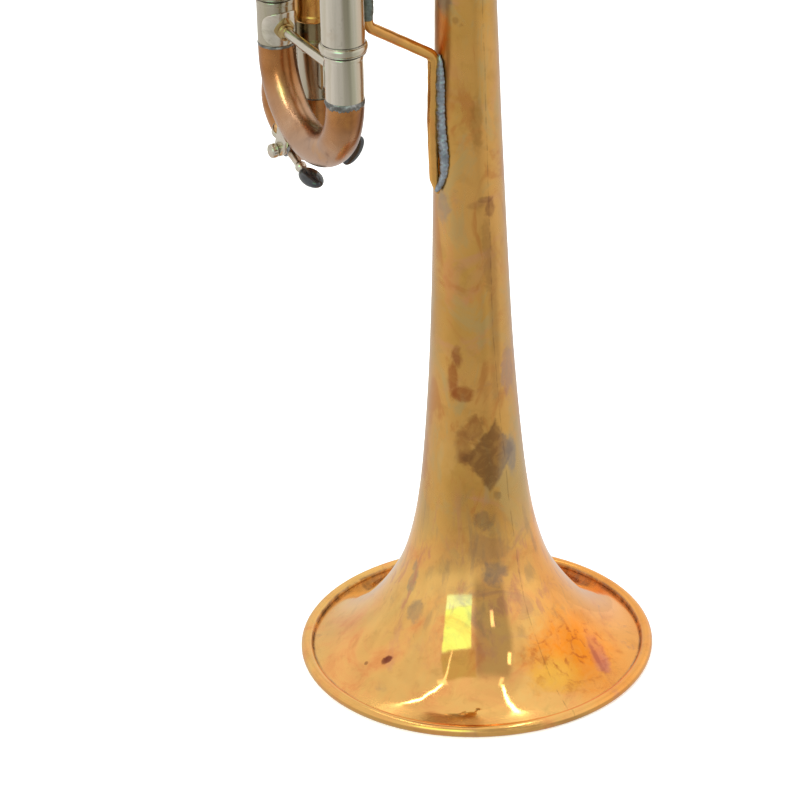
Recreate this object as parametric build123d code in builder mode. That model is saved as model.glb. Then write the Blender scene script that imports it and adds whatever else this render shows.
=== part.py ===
from build123d import *
import os
from math import cos, hypot, radians, sin

# B-flat trumpet standing on its bell.  Millimetres.
# Origin: centre of the bell rim's resting plane.  +Z runs up the bell axis towards the
# mouthpiece, -Y is the button side, +Y the bottom-cap side, -X the leadpipe side.
# Each slide has two legs: "UP" is the one nearer the buttons, "LOW" the one nearer the caps.

os.makedirs("parts", exist_ok=True)

# ------------------------------------------------------------------ shared dimensions
BOW_Z = 414.0           # where the bell bow starts to turn
BOW_R = 8.22            # outside radius of the bell at the bow
WALL = 0.6              # bell sheet

X_LEAD = -45.0          # leadpipe and main slide plane
Y_LOW = 49.0            # lower leg of the main slide, and the bell tail
X_TAIL = -18.0          # bell tail beside the first slide

X_VALVE = -25.0         # valve axes, parallel to Y
VALVE_PITCH = 27.0
Z_VALVE = {number: 292.0 + VALVE_PITCH * (3 - number) for number in (3, 2, 1)}
Y_TOP, Y_BOT = -27.0, 97.0              # ends of the casings
CASING_R, CASING_BORE = 10.0, 8.45
PISTON_R = 8.40

BORE = 5.83             # 0.459 inch bore, radius
INNER_R = 6.10          # slide inner tubes, outside radius
OUTER_IN = 6.15         # slide outer tubes, inside radius
OUTER_R = 7.15          # main slide outer tubes, outside radius
VALVE_OUTER_R = 6.85    # valve slide outer tubes, outside radius
SLEEVE_R = 6.36         # sleeves and ferrules over the slide inner tubes
CROOK_R = 6.32          # outside radius of the main, first and second crooks
FIT = 0.01              # clearance where a brace meets a tube

Z_FERRULE = 220.3       # solder line between main crook and ferrule
Z_LIP = 237.0           # mouth of the main outer tubes
FAR_UP = 2.0            # the lower leg's mouth and ferrule sit this much higher
CROOK_Z = 219.3         # main crook centre
Z_LEAD_JOINT = 300.0    # top of the main outer tube on the leadpipe
Z_LOW_JOINT = 276.0     # top of the main outer tube on the lower leg

X_THIRD = -29.0         # third slide plane
Y3_UP, Y3_LOW = 52.5, 80.0
Y3_MID = (Y3_LOW + Y3_UP) / 2
Z3_FERRULE, Z3_LIP, Z3_CROOK, Z3_TOP = 198.4, 217.2, 189.5, 256.0

X_FIRST, Y1_UP, Y1_LOW = -33.0, 35.5, 62.5
Z1_BASE, Z1_LIP, Z1_CROOK = 371.0, 396.0, 407.0

Y2_UP, Y2_LOW = 33.0, 60.0
Y2_MID = (Y2_UP + Y2_LOW) / 2
X2_LIP, X2_CROOK = -51.0, -58.0

# places where tubes enter the casings
Y_LINK_32, Y_LINK_21 = 30.0, 62.0       # tubes between valves 3 and 2, and 2 and 1
X_TAIL_PORT = X_VALVE + 2.0
X_FIRST_PORT = X_VALVE - 3.0
X_THIRD_PORT = X_VALVE + 0.5
Y3_LOW_PORT = 72.0


# ------------------------------------------------------------------ helpers
def outline_face(points, plane):
    """Face bounded by a closed outline drawn in a plane."""
    with BuildSketch(plane) as face:
        with BuildLine():
            Polyline(*points, close=True)
        make_face()
    return face.sketch


def turn_z(points, x=0.0, y=0.0, mode=Mode.ADD):
    """Revolve a (radius, z) outline about a vertical axis at (x, y)."""
    plane = Plane((x, y, 0), x_dir=(1, 0, 0), z_dir=(0, -1, 0))
    revolve(outline_face(points, plane), axis=Axis((x, y, 0), (0, 0, 1)), mode=mode)


def turn_y(points, x, z, mode=Mode.ADD):
    """Revolve a (radius, y) outline about an axis parallel to Y at (x, z)."""
    revolve(outline_face(points, Plane((x, 0, z))), axis=Axis((x, 0, z), (0, 1, 0)), mode=mode)


def turn_x(points, y, z, mode=Mode.ADD):
    """Revolve an (x, radius) outline about an axis parallel to X at (y, z)."""
    plane = Plane((0, y, z), x_dir=(1, 0, 0), z_dir=(0, -1, 0))
    revolve(outline_face(points, plane), axis=Axis((0, y, z), (1, 0, 0)), mode=mode)


def band(r_in, r_out, start, end):
    """Outline of a plain tube, or of a cylinder when r_in is 0."""
    return [(r_in, start), (r_out, start), (r_out, end), (r_in, end)]


def cut_z(radius, z_start, z_end, x=0.0, y=0.0):
    """Clear a vertical cylinder out of the current part."""
    turn_z(band(0, radius, z_start, z_end), x, y, mode=Mode.SUBTRACT)


def cut_casing(number, y_start=20, y_end=80):
    """Clear the outside of a valve casing out of the current part."""
    turn_y(band(0, CASING_R, y_start, y_end), X_VALVE, Z_VALVE[number], mode=Mode.SUBTRACT)


def sweep_round(path, radius, bore=None, mode=Mode.ADD):
    """Sweep a disc, or a ring when a bore is given, along a path."""
    with BuildSketch(Plane(origin=path @ 0, z_dir=path % 0)) as section:
        Circle(radius)
        if bore:
            Circle(bore, mode=Mode.SUBTRACT)
    sweep(section.sketch, path=path, mode=mode)


def bent(points, radius):
    """Wire through points with its corners rounded."""
    with BuildLine() as line:
        FilletPolyline(*points, radius=radius)
    return line.wire()


def arc_path(start, middle, end, lead_in=None, lead_out=None):
    """Arc through three points, with optional straight leads before and after."""
    with BuildLine() as line:
        if lead_in:
            Line(lead_in, start)
        ThreePointArc(start, middle, end)
        if lead_out:
            Line(end, lead_out)
    return line.wire()


def bead_tube(r_out, z_lip, z_top, bead_r, bead_height=2.6):
    """(radius, z) outline of an outer slide tube: thin lip, round bead, plain tube."""
    points = [(OUTER_IN, z_lip), (r_out + 0.25, z_lip), (r_out + 0.45, z_lip + 0.3),
              (r_out + 0.35, z_lip + 0.75)]
    root_r = r_out + 0.2
    z_bead = z_lip + 0.75 + bead_height / 2
    for k in range(9):
        angle = radians(-90 + 180 * k / 8)
        points.append((root_r + (bead_r - root_r) * cos(angle),
                       z_bead + bead_height / 2 * sin(angle)))
    return points + [(r_out, z_bead + bead_height / 2 + 0.25), (r_out, z_top), (OUTER_IN, z_top)]


def export(part, name):
    part.part.label = name
    export_step(part.part, f"parts/{name}.step")


# ------------------------------------------------------------------ bell
RIM_R = 59.4            # centre radius of the rolled rim bead
BEAD_R = 2.1            # outside radius of the rolled bead
BEAD_IN = 1.52          # inside radius of the roll, around the wire
BEAD_Z = 2.05           # bead centre above the resting plane
RIM_WIRE_R = 1.42

# outside of the flare: (z, radius)
BELL_PROFILE = [
    (2.3, 57.6), (4.0, 53.5), (8.0, 46.8), (13.0, 40.8), (19.0, 35.4), (26.0, 30.5),
    (34.0, 26.2), (44.0, 22.7), (56.0, 20.0), (72.0, 17.78), (92.0, 15.97), (120.0, 14.12),
    (160.0, 12.5), (200.0, 11.25), (245.0, 10.2), (300.0, 9.3), (360.0, 8.65), (410.0, 8.25)]


def offset_inward(outer):
    """Bell outline moved in by the wall, square to the chord through each point's neighbours."""
    inner = []
    for i, (r, z) in enumerate(outer):
        before = outer[max(i - 1, 0)]
        after = outer[min(i + 1, len(outer) - 1)]
        dr, dz = after[0] - before[0], after[1] - before[1]
        chord = hypot(dr, dz)
        inner.append((r - WALL * dz / chord, z + WALL * dr / chord))
    inner[-1] = (BOW_R - WALL, BOW_Z)
    return inner


bell_outer = [(r, z) for z, r in BELL_PROFILE] + [(BOW_R, BOW_Z)]
bell_inner = offset_inward(bell_outer)
with BuildPart() as bell:
    with BuildSketch(Plane.XZ):
        with BuildLine():
            Spline(*bell_outer)
            Line(bell_outer[-1], bell_inner[-1])
            Spline(*reversed(bell_inner))
            Line(bell_inner[0], bell_outer[0])
        make_face()
    revolve(axis=Axis.Z)
    # rolled rim, with a slit in the roll, cut off at the resting plane
    with BuildSketch(Plane.XZ):
        with Locations((RIM_R, BEAD_Z)):
            Circle(BEAD_R)
            Circle(BEAD_IN, mode=Mode.SUBTRACT)
        with Locations((RIM_R - 1.75, BEAD_Z + 1.15)):
            Rectangle(1.1, 0.5, rotation=-38, mode=Mode.SUBTRACT)
        with Locations((RIM_R, -2.0)):
            Rectangle(12, 4.0, mode=Mode.SUBTRACT)
    revolve(axis=Axis.Z)
export(bell, "bell")

with BuildPart() as bell_rim_wire:
    with BuildSketch(Plane.XZ):
        with Locations((RIM_R, BEAD_Z)):
            Circle(RIM_WIRE_R)
    revolve(axis=Axis.Z)
export(bell_rim_wire, "bell_rim_wire")

# Tapered bow: a half circle in the tilted plane from the bell to the tail, then straight down.
BOW_ARC_Z = BOW_Z + 0.5
BOW_END_Z = 376
# sections: (fraction of the path, radius)
BOW_OUTER = [(0, BOW_R), (0.25, 7.8), (0.5, 7.3), (0.72, 6.9), (1.0, 6.55)]
BOW_INNER = [(0, BOW_R - WALL), (0.25, 7.2), (0.5, 6.75), (0.72, 6.35), (1.0, BORE + 0.1)]

bow_path = arc_path(
    (0, 0, BOW_ARC_Z),
    (X_TAIL / 2, Y_LOW / 2, BOW_ARC_Z + hypot(X_TAIL, Y_LOW) / 2),
    (X_TAIL, Y_LOW, BOW_ARC_Z),
    lead_in=(0, 0, BOW_Z), lead_out=(X_TAIL, Y_LOW, BOW_END_Z))
with BuildPart() as bell_bow:
    for sections, mode in ((BOW_OUTER, Mode.ADD), (BOW_INNER, Mode.SUBTRACT)):
        for fraction, radius in sections:
            with BuildSketch(Plane(origin=bow_path @ fraction, z_dir=bow_path % fraction)):
                Circle(radius)
        sweep(path=bow_path, multisection=True, mode=mode)
export(bell_bow, "bell_bow")

# ferrule joining the bell tail to the first valve, with its short offset neck
NECK_TOP = 384
TAIL_COLLAR = [(0, 379), (7.9, 379), (8.3, 380), (7.9, 381), (7.3, 381), (7.3, NECK_TOP),
               (0, NECK_TOP)]           # (radius, z)
with BuildPart() as bell_tail_ferrule:
    neck_path = bent([(X_TAIL, Y_LOW, NECK_TOP), (X_TAIL, Y_LOW, 369),
                      (X_TAIL_PORT, Y_LOW, 358), (X_TAIL_PORT, Y_LOW, 347)], 8)
    sweep_round(neck_path, 7.3)
    turn_z(TAIL_COLLAR, X_TAIL, Y_LOW)
    sweep_round(neck_path, BORE, mode=Mode.SUBTRACT)
    cut_z(6.7, 375, 386, X_TAIL, Y_LOW)         # socket for the tail
    cut_casing(1)
export(bell_tail_ferrule, "bell_tail_ferrule")

# ------------------------------------------------------------------ leadpipe side
# all (radius, z)
LEADPIPE = [(5.6, 296), (6.05, 296), (6.15, 380), (6.0, 440), (6.0, 458), (4.7, 458),
            (4.6, 440), (5.0, 380)]
RECEIVER = [(6.05, 434), (6.9, 434), (7.1, 435), (7.1, 442), (7.9, 443), (8.1, 444.5),
            (7.9, 446), (7.3, 447), (7.3, 470), (7.9, 471), (8.4, 472.5), (8.4, 480),
            (7.9, 482), (5.6, 482), (5.0, 459), (6.05, 459)]
LEAD_COLLAR = [(6.1, 300), (7.5, 300), (7.9, 301), (7.9, 303), (7.3, 304), (6.9, 309),
               (6.1, 310)]
MOUTHPIECE = [
    (4.97, 460), (5.57, 482), (5.7, 490), (6.1, 500), (7.2, 510), (9.4, 517), (12.0, 523),
    (13.2, 529), (13.4, 535), (13.2, 541), (13.6, 543.2), (13.7, 545), (13.2, 546.4),
    (12.0, 547), (10.2, 546.8), (9.0, 546), (8.3, 544.5), (8.05, 541), (7.4, 537),
    (5.9, 533.5), (3.6, 531), (2.1, 529.8), (1.85, 528.5), (1.85, 522), (2.6, 505),
    (3.8, 480), (4.3, 460)]

for name, outline in (("leadpipe", LEADPIPE), ("mouthpiece_receiver", RECEIVER),
                      ("mouthpiece", MOUTHPIECE)):
    with BuildPart() as turned_part:
        turn_z(outline, X_LEAD)
    export(turned_part, name)

MAIN_BEAD_R = 8.0
with BuildPart() as main_slide_outer_tubes:
    turn_z(bead_tube(OUTER_R, Z_LIP, Z_LEAD_JOINT, MAIN_BEAD_R), X_LEAD)
    turn_z(LEAD_COLLAR, X_LEAD)
    turn_z(bead_tube(OUTER_R, Z_LIP + FAR_UP, Z_LOW_JOINT, MAIN_BEAD_R), X_LEAD, Y_LOW)
export(main_slide_outer_tubes, "main_slide_outer_tubes")

# Two braces from the leadpipe side to the bell: a bent rod below, a turned bar above.
Z_BAR = 396
BENT_BRACE = [(-36.0, 0, 281), (-36.0, 0, 243.8), (-12.3, 0, 228.2), (-13.35, 0, 184),
              (-12.5, 0, 179.8)]
BELL_CLEARANCE = [(12.9, 170), (12.2, 190), (11.3, 210), (10.75, 225), (10.2, 245)]  # (r, z)
TURNED_BAR = [          # (x, radius)
    (X_LEAD + 6, 0), (X_LEAD + 6, 4.5), (-37.6, 4.2), (-36.8, 2.0), (-33, 1.6), (-29, 2.4),
    (-25, 1.6), (-14, 2.0), (-13, 4.2), (-7.5, 4.6), (-7.5, 0)]
with BuildPart() as leadpipe_braces:
    sweep_round(bent(BENT_BRACE, 4.0), 1.78)
    with BuildSketch(Plane.XZ):
        with BuildLine():
            Spline(*BELL_CLEARANCE)
            Polyline(BELL_CLEARANCE[-1], (0, 245), (0, 170), BELL_CLEARANCE[0])
        make_face()
    revolve(axis=Axis.Z, mode=Mode.SUBTRACT)
    turn_x(TURNED_BAR, 0, Z_BAR)
    # clear the outer tube and leadpipe, then the bell
    turn_z([(0, 240), (OUTER_R + FIT, 240), (OUTER_R + FIT, 300), (6.2, 301), (6.2, 410),
            (0, 410)], X_LEAD, mode=Mode.SUBTRACT)
    turn_z([(0, 380), (8.6, 380), (8.45, 410), (0, 410)], mode=Mode.SUBTRACT)
export(leadpipe_braces, "leadpipe_braces")

HOOK_YZ = [(-8.4, 330), (-10.5, 296), (-13, 284), (-27, 279), (-30, 297), (-23, 304)]
HOOK_CLEARANCE = [      # (radius, z): outer tube, collar and leadpipe
    (0, 270), (7.17, 270), (7.17, 299.8), (7.6, 299.9), (8.0, 301), (8.0, 303.1),
    (7.4, 304.1), (7.0, 309.1), (6.2, 310.2), (6.2, 345), (0, 345)]
with BuildPart() as finger_hook:
    sweep_round(bent([(X_LEAD, y, z) for y, z in HOOK_YZ], 5.0), 1.7)
    # mounting plate
    with BuildSketch(Plane.XZ.offset(7.0)):
        with Locations((X_LEAD, 316)):
            SlotCenterToCenter(26, 5, rotation=90)
    extrude(amount=1.8)
    turn_z(HOOK_CLEARANCE, X_LEAD, mode=Mode.SUBTRACT)
export(finger_hook, "finger_hook")

# ------------------------------------------------------------------ valve casings
TOWARDS_LEAD, DOWN, UP = (-1, 0, 0), (0, 0, -1), (0, 0, 1)
PORTS = {               # valve: (direction, x, y) of each port
    1: [(DOWN, X_VALVE, Y_LINK_21), (UP, X_FIRST_PORT, Y1_UP), (UP, X_FIRST_PORT, Y1_LOW),
        (UP, X_TAIL_PORT, Y_LOW)],
    2: [(DOWN, X_VALVE, Y_LINK_32), (TOWARDS_LEAD, X_VALVE, Y2_UP),
        (TOWARDS_LEAD, X_VALVE, Y2_LOW), (UP, X_VALVE, Y_LINK_21)],
    3: [(TOWARDS_LEAD, X_VALVE, Y_LOW), (DOWN, X_THIRD_PORT, Y3_UP),
        (DOWN, X_VALVE, Y3_LOW_PORT), (UP, X_VALVE, Y_LINK_32)],
}
# one end of a casing: (radius, depth from the end); both ends are alike
CASING_END = [(CASING_BORE, 0), (9.6, 0), (9.6, 5), (10.9, 5.2), (11.1, 7), (10.9, 12),
              (10.5, 13), (10.5, 14.2), (CASING_R, 15)]
CASING = ([(r, Y_TOP + depth) for r, depth in CASING_END]
          + [(r, Y_BOT - depth) for r, depth in reversed(CASING_END)])

for number, ports in PORTS.items():
    with BuildPart() as casing:
        turn_y(CASING, X_VALVE, Z_VALVE[number])
        for direction, x, y in ports:
            with BuildSketch(Plane(origin=(x, y, Z_VALVE[number]), z_dir=direction)):
                Circle(BORE)
            extrude(amount=12, mode=Mode.SUBTRACT)
    export(casing, f"valve_casing_{number}")

LINK_R = 6.9
LINK_INSET = 5          # link tubes start and end this far from the valve axes
PEG_R = 2.2             # solid pegs between casings
with BuildPart() as intervalve_tubes:
    for z, y in ((Z_VALVE[3], Y_LINK_32), (Z_VALVE[2], Y_LINK_21)):
        with BuildSketch(Plane((X_VALVE, y, z + LINK_INSET))):
            Circle(LINK_R)
            Circle(BORE, mode=Mode.SUBTRACT)
        extrude(amount=VALVE_PITCH - 2 * LINK_INSET)
    for number in Z_VALVE:
        cut_casing(number, 10)
    for y in (4.0, 78.0):
        for number in (3, 2):
            with BuildSketch(Plane((X_VALVE, y, Z_VALVE[number] + CASING_R + FIT))):
                Circle(PEG_R)
            extrude(amount=VALVE_PITCH - 2 * (CASING_R + FIT))
export(intervalve_tubes, "intervalve_tubes")

CAP_IN = 9.66           # inside radius of both caps
TOP_CAP = [             # (radius, y)
    (3.2, Y_TOP - 3.2), (8.0, Y_TOP - 3.2), (9.6, Y_TOP - 2.4), (10.4, Y_TOP - 1.2),
    (11.4, Y_TOP - 0.9), (11.6, Y_TOP - 0.4), (11.6, Y_TOP + 4.2), (11.3, Y_TOP + 4.8),
    (CAP_IN, Y_TOP + 4.8), (CAP_IN, Y_TOP - 0.6), (7.4, Y_TOP - 0.6), (7.0, Y_TOP - 1.6),
    (3.2, Y_TOP - 1.6)]
BOTTOM_CAP = [          # (radius, y)
    (1.6, Y_BOT + 3.4), (3.0, Y_BOT + 3.4), (3.4, Y_BOT + 2.6), (8.6, Y_BOT + 2.0),
    (10.4, Y_BOT + 1.2), (11.4, Y_BOT + 0.8), (11.6, Y_BOT + 0.2), (11.6, Y_BOT - 4.2),
    (11.3, Y_BOT - 4.8), (CAP_IN, Y_BOT - 4.8), (CAP_IN, Y_BOT + 0.15), (2.6, Y_BOT + 1.1),
    (1.6, Y_BOT + 1.6)]
for name, outline in (("top_caps", TOP_CAP), ("bottom_caps", BOTTOM_CAP)):
    with BuildPart() as caps:
        for z in Z_VALVE.values():
            turn_y(outline, X_VALVE, z)
    export(caps, name)

Y_GUIDE = 15.0          # button-side face of the guides
GUIDE_THICK = 3.0
with BuildPart() as valve_guides:
    for z in Z_VALVE.values():
        with Locations((X_VALVE, Y_GUIDE + GUIDE_THICK / 2, z)):
            Box(17.4, GUIDE_THICK, 3.6)
            Cylinder(5.2, GUIDE_THICK, rotation=(90, 0, 0))
        # trim to the casing bore
        turn_y(band(CASING_BORE, 12, 10, 22), X_VALVE, z, mode=Mode.SUBTRACT)
export(valve_guides, "valve_guides")

# ------------------------------------------------------------------ pistons
PISTON_BODY = [         # (radius, y)
    (0, 77.8), (0, 79), (7.9, 79), (PISTON_R, 78.5), (PISTON_R, 21), (8.1, 20.5),
    (8.1, -8.0), (7.3, -8.0), (7.3, 19.5), (0, 19.5), (0, 20.5), (7.7, 20.5), (7.7, 77.8)]
PASSAGES = [            # (centre y, direction) of the three cross passages
    (31.5, (0.25, 0, 1)), (48.5, (1, 0.18, 0.35)), (66.0, (-0.3, 0.1, 1))]
PASSAGE_R = 6.5         # outside radius of a passage

for number, z in Z_VALVE.items():
    with BuildPart() as piston:
        turn_y(PISTON_BODY, X_VALVE, z)
        for y, direction in PASSAGES:
            with BuildSketch(Plane(origin=(X_VALVE, y, z), z_dir=direction)):
                Circle(PASSAGE_R)
            extrude(amount=9.5, both=True)
        # trim the passages to the piston's outside, then bore them
        turn_y(band(0, PISTON_R, -9, 80), X_VALVE, z, mode=Mode.INTERSECT)
        for y, direction in PASSAGES:
            with BuildSketch(Plane(origin=(X_VALVE, y, z), z_dir=direction)):
                Circle(BORE)
            extrude(amount=11, both=True, mode=Mode.SUBTRACT)
        # guide slot in the spring barrel, and the hole in the end wall
        with Locations((X_VALVE, 8.25, z)):
            Box(20, 20.5, 4.0, mode=Mode.SUBTRACT)
        with Locations((X_VALVE, 78.5, z)):
            Cylinder(1.5, 3, rotation=(90, 0, 0), mode=Mode.SUBTRACT)
    export(piston, f"piston_{number}")

# Turned pieces on every piston: (radius, y)
PISTON_FITTINGS = {
    "valve_stem": [
        (0, -8.0), (7.6, -8.0), (7.6, -9.6), (4.2, -10.4), (3.4, -11.4), (2.75, -12.0),
        (2.75, -49.9), (2.0, -50.1), (2.0, -54.1), (0, -54.1)],
    "finger_button": [
        (2.05, -50.2), (3.6, -50.2), (3.6, -51.2), (6.0, -52.0), (7.9, -53.2), (8.2, -54.4),
        (8.0, -55.6), (7.2, -56.2), (6.65, -56.2), (6.65, -54.8), (2.05, -54.8)],
    "button_pearl": [
        (0, -54.85), (6.6, -54.85), (6.6, -55.9), (5.6, -56.5), (3.6, -56.9), (0, -57.0)],
    "button_felt": [
        (2.85, -47.0), (6.2, -47.0), (6.4, -47.4), (6.4, -49.8), (6.2, -50.15),
        (2.85, -50.15)],
}
for name, outline in PISTON_FITTINGS.items():
    for number, z in Z_VALVE.items():
        with BuildPart() as fitting:
            turn_y(outline, X_VALVE, z)
        export(fitting, f"{name}_{number}")

SPRING_WIRE_R = 0.38
for number, z in Z_VALVE.items():
    with BuildPart() as spring:
        with BuildLine() as coil:
            Helix(pitch=2.9, height=21.0, radius=6.2, center=(X_VALVE, -7.0, z),
                  direction=(0, 1, 0))
        coil_path = coil.wire()
        with BuildSketch(Plane(origin=coil_path @ 0, z_dir=coil_path % 0)):
            Circle(SPRING_WIRE_R)
        sweep(path=coil_path, is_frenet=True)
    export(spring, f"valve_spring_{number}")

# ------------------------------------------------------------------ fixed slide tubes
KNUCKLE_R, MAIN_KNUCKLE_R = 6.7, 7.0
Z_THIRD_BEND = 261.5
main_knuckle = bent([(X_LEAD, Y_LOW, Z_LOW_JOINT), (X_LEAD, Y_LOW, Z_VALVE[3]),
                     (X_LEAD + 18, Y_LOW, Z_VALVE[3])], 15)
third_up_knuckle = bent([(X_THIRD, Y3_UP, Z3_TOP), (X_THIRD, Y3_UP, Z_THIRD_BEND),
                         (X_THIRD_PORT, Y3_UP, 272), (X_THIRD_PORT, Y3_UP, 286)], 8)
third_low_knuckle = bent([(X_THIRD, Y3_LOW, Z3_TOP), (X_THIRD, Y3_LOW, Z_THIRD_BEND),
                          (X_VALVE, Y3_LOW_PORT, 275), (X_VALVE, Y3_LOW_PORT, 286)], 8)
with BuildPart() as slide_knuckles:
    sweep_round(main_knuckle, MAIN_KNUCKLE_R, BORE)
    sweep_round(third_up_knuckle, KNUCKLE_R, BORE)
    sweep_round(third_low_knuckle, KNUCKLE_R, BORE)
    cut_casing(3, y_end=84)
    for y in (Y1_UP, Y1_LOW):
        first_knuckle = bent([(X_FIRST, y, Z1_BASE), (X_FIRST, y, 367),
                              (X_FIRST_PORT, y, 359.5), (X_FIRST_PORT, y, 348)], 6)
        sweep_round(first_knuckle, KNUCKLE_R, BORE)
    cut_casing(1)
export(slide_knuckles, "slide_knuckles")

with BuildPart() as third_slide_outer_tubes:
    for y in (Y3_UP, Y3_LOW):
        turn_z(bead_tube(VALVE_OUTER_R, Z3_LIP, Z3_TOP, 7.45, bead_height=2.2), X_THIRD, y)
export(third_slide_outer_tubes, "third_slide_outer_tubes")

FIRST_OUTER = [         # (radius, z)
    (OUTER_IN, Z1_BASE), (VALVE_OUTER_R, Z1_BASE), (VALVE_OUTER_R, Z1_LIP - 3.6),
    (7.2, Z1_LIP - 3.2), (7.5, Z1_LIP - 2.0), (7.2, Z1_LIP - 0.8), (6.9, Z1_LIP),
    (OUTER_IN, Z1_LIP)]
with BuildPart() as first_slide_outer_tubes:
    for y in (Y1_UP, Y1_LOW):
        turn_z(FIRST_OUTER, X_FIRST, y)
export(first_slide_outer_tubes, "first_slide_outer_tubes")

X2_END = -30            # inner end of the outer tubes, before trimming to the casing
SECOND_OUTER = [        # (x, radius)
    (X2_LIP, OUTER_IN), (X2_LIP, 6.9), (X2_LIP + 0.8, 7.2), (X2_LIP + 2, 7.5),
    (X2_LIP + 3.2, 7.2), (X2_LIP + 3.6, VALVE_OUTER_R), (X2_END, VALVE_OUTER_R),
    (X2_END, OUTER_IN)]
with BuildPart() as second_slide_outer_tubes:
    for y in (Y2_UP, Y2_LOW):
        turn_x(SECOND_OUTER, y, Z_VALVE[2])
    cut_casing(2)
export(second_slide_outer_tubes, "second_slide_outer_tubes")

# bar between the third outer tubes with an eye for the stop rod
with BuildPart() as third_slide_rod_guide:
    with BuildSketch(Plane((X_THIRD, Y3_MID, 226))):
        Rectangle(3.2, Y3_LOW - Y3_UP - 12.6)
        Circle(3.0)
        Circle(1.3, mode=Mode.SUBTRACT)
    extrude(amount=3.0)
    for y in (Y3_UP, Y3_LOW):
        cut_z(VALVE_OUTER_R + 0.02, 220, 240, X_THIRD, y)
export(third_slide_rod_guide, "third_slide_rod_guide")

# ------------------------------------------------------------------ main tuning slide
with BuildPart() as main_slide_inner_tubes:
    turn_z(band(BORE, INNER_R, Z_FERRULE, 290), X_LEAD)
    turn_z(band(BORE, INNER_R, Z_FERRULE + FAR_UP, 274), X_LEAD, Y_LOW)
export(main_slide_inner_tubes, "main_slide_inner_tubes")

FERRULE_IN = INNER_R + 0.005
FERRULE = [             # (radius, z) on the leadpipe leg
    (FERRULE_IN, Z_FERRULE), (SLEEVE_R, Z_FERRULE), (6.42, Z_FERRULE + 0.5),
    (SLEEVE_R, Z_FERRULE + 1.0), (SLEEVE_R, Z_LIP - 2.2), (6.5, Z_LIP - 1.9),
    (6.5, Z_LIP - 0.9), (6.3, Z_LIP - 0.5), (FERRULE_IN, Z_LIP - 0.5)]
with BuildPart() as main_slide_ferrules:
    turn_z(FERRULE, X_LEAD)
    turn_z([(r, z + FAR_UP) for r, z in FERRULE], X_LEAD, Y_LOW)
export(main_slide_ferrules, "main_slide_ferrules")

MAIN_BEND_R = Y_LOW / 2
main_crook_path = arc_path(
    (X_LEAD, 0, CROOK_Z), (X_LEAD, MAIN_BEND_R, CROOK_Z - MAIN_BEND_R),
    (X_LEAD, Y_LOW, CROOK_Z),
    lead_in=(X_LEAD, 0, Z_FERRULE - FIT),
    lead_out=(X_LEAD, Y_LOW, Z_FERRULE + FAR_UP - FIT))

# Water key: the pivot is parallel to X, outside the crook's bend.
KEY_DIR_Y, KEY_DIR_Z = 0.4895, -0.872   # from the crook centre to the pivot
KEY_DIR = (0, KEY_DIR_Y, KEY_DIR_Z)
PIVOT_DISTANCE = 38.4
KEY_Y = MAIN_BEND_R + PIVOT_DISTANCE * KEY_DIR_Y
KEY_Z = CROOK_Z + PIVOT_DISTANCE * KEY_DIR_Z
KEY_X0, KEY_X1 = X_LEAD - 2.2, X_LEAD + 2.2     # inner faces of the gap for the barrel
KEY_BACK = 6.6                          # cork arm beyond the pivot
CORK_Y, CORK_Z = KEY_Y - KEY_BACK * KEY_DIR_Z, KEY_Z + KEY_BACK * KEY_DIR_Y
NIPPLE_SETBACK = 9.5                    # foot of the nipple, measured towards the crook


def cork_plane(setback):
    """Plane facing away from the crook on the cork axis, set back towards the crook."""
    origin = (X_LEAD, CORK_Y - setback * KEY_DIR_Y, CORK_Z - setback * KEY_DIR_Z)
    return Plane(origin=origin, z_dir=KEY_DIR)


with BuildPart() as main_slide_crook:
    sweep_round(main_crook_path, CROOK_R)
    # drain nipple under the cork
    with BuildSketch(cork_plane(NIPPLE_SETBACK)):
        Circle(2.3)
    extrude(amount=4.9)
    sweep_round(main_crook_path, BORE, mode=Mode.SUBTRACT)
    with BuildSketch(cork_plane(NIPPLE_SETBACK)):
        Circle(1.5)
    extrude(amount=6, mode=Mode.SUBTRACT)
export(main_slide_crook, "main_slide_crook")

# rod between the legs, with a collar and a diamond foot at each end
Z_BRACE = 228.4
FOOT_INSET, FOOT_LENGTH = 2, 6.5
ROD_INSET = 5
COLLAR_NEAR, COLLAR_FAR = 6.0, 8.6      # collar faces from each leg's axis


def brace_plane(y):
    """Plane square to the brace rod, facing +Y."""
    return Plane(origin=(X_LEAD, y, Z_BRACE), x_dir=(1, 0, 0), z_dir=(0, 1, 0))


with BuildPart() as main_slide_brace:
    for y in (FOOT_INSET, Y_LOW - FOOT_INSET - FOOT_LENGTH):
        with BuildSketch(brace_plane(y)):
            Polygon((5.4, 0), (0, 4.6), (-5.4, 0), (0, -4.6))
        extrude(amount=FOOT_LENGTH)
    # keep only a thin shell of each foot around its tube
    for y in (0, Y_LOW):
        turn_z(band(7.25, 13, 220, 240), X_LEAD, y, mode=Mode.SUBTRACT)
    with BuildSketch(brace_plane(ROD_INSET)):
        Circle(1.42)
    extrude(amount=Y_LOW - 2 * ROD_INSET)
    for y in (COLLAR_NEAR, Y_LOW - COLLAR_FAR):
        with BuildSketch(brace_plane(y)):
            Circle(2.2)
        extrude(amount=COLLAR_FAR - COLLAR_NEAR)
    for y in (0, Y_LOW):
        cut_z(SLEEVE_R + FIT, 220.5, 236.0, X_LEAD, y)
export(main_slide_brace, "main_slide_brace")

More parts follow.
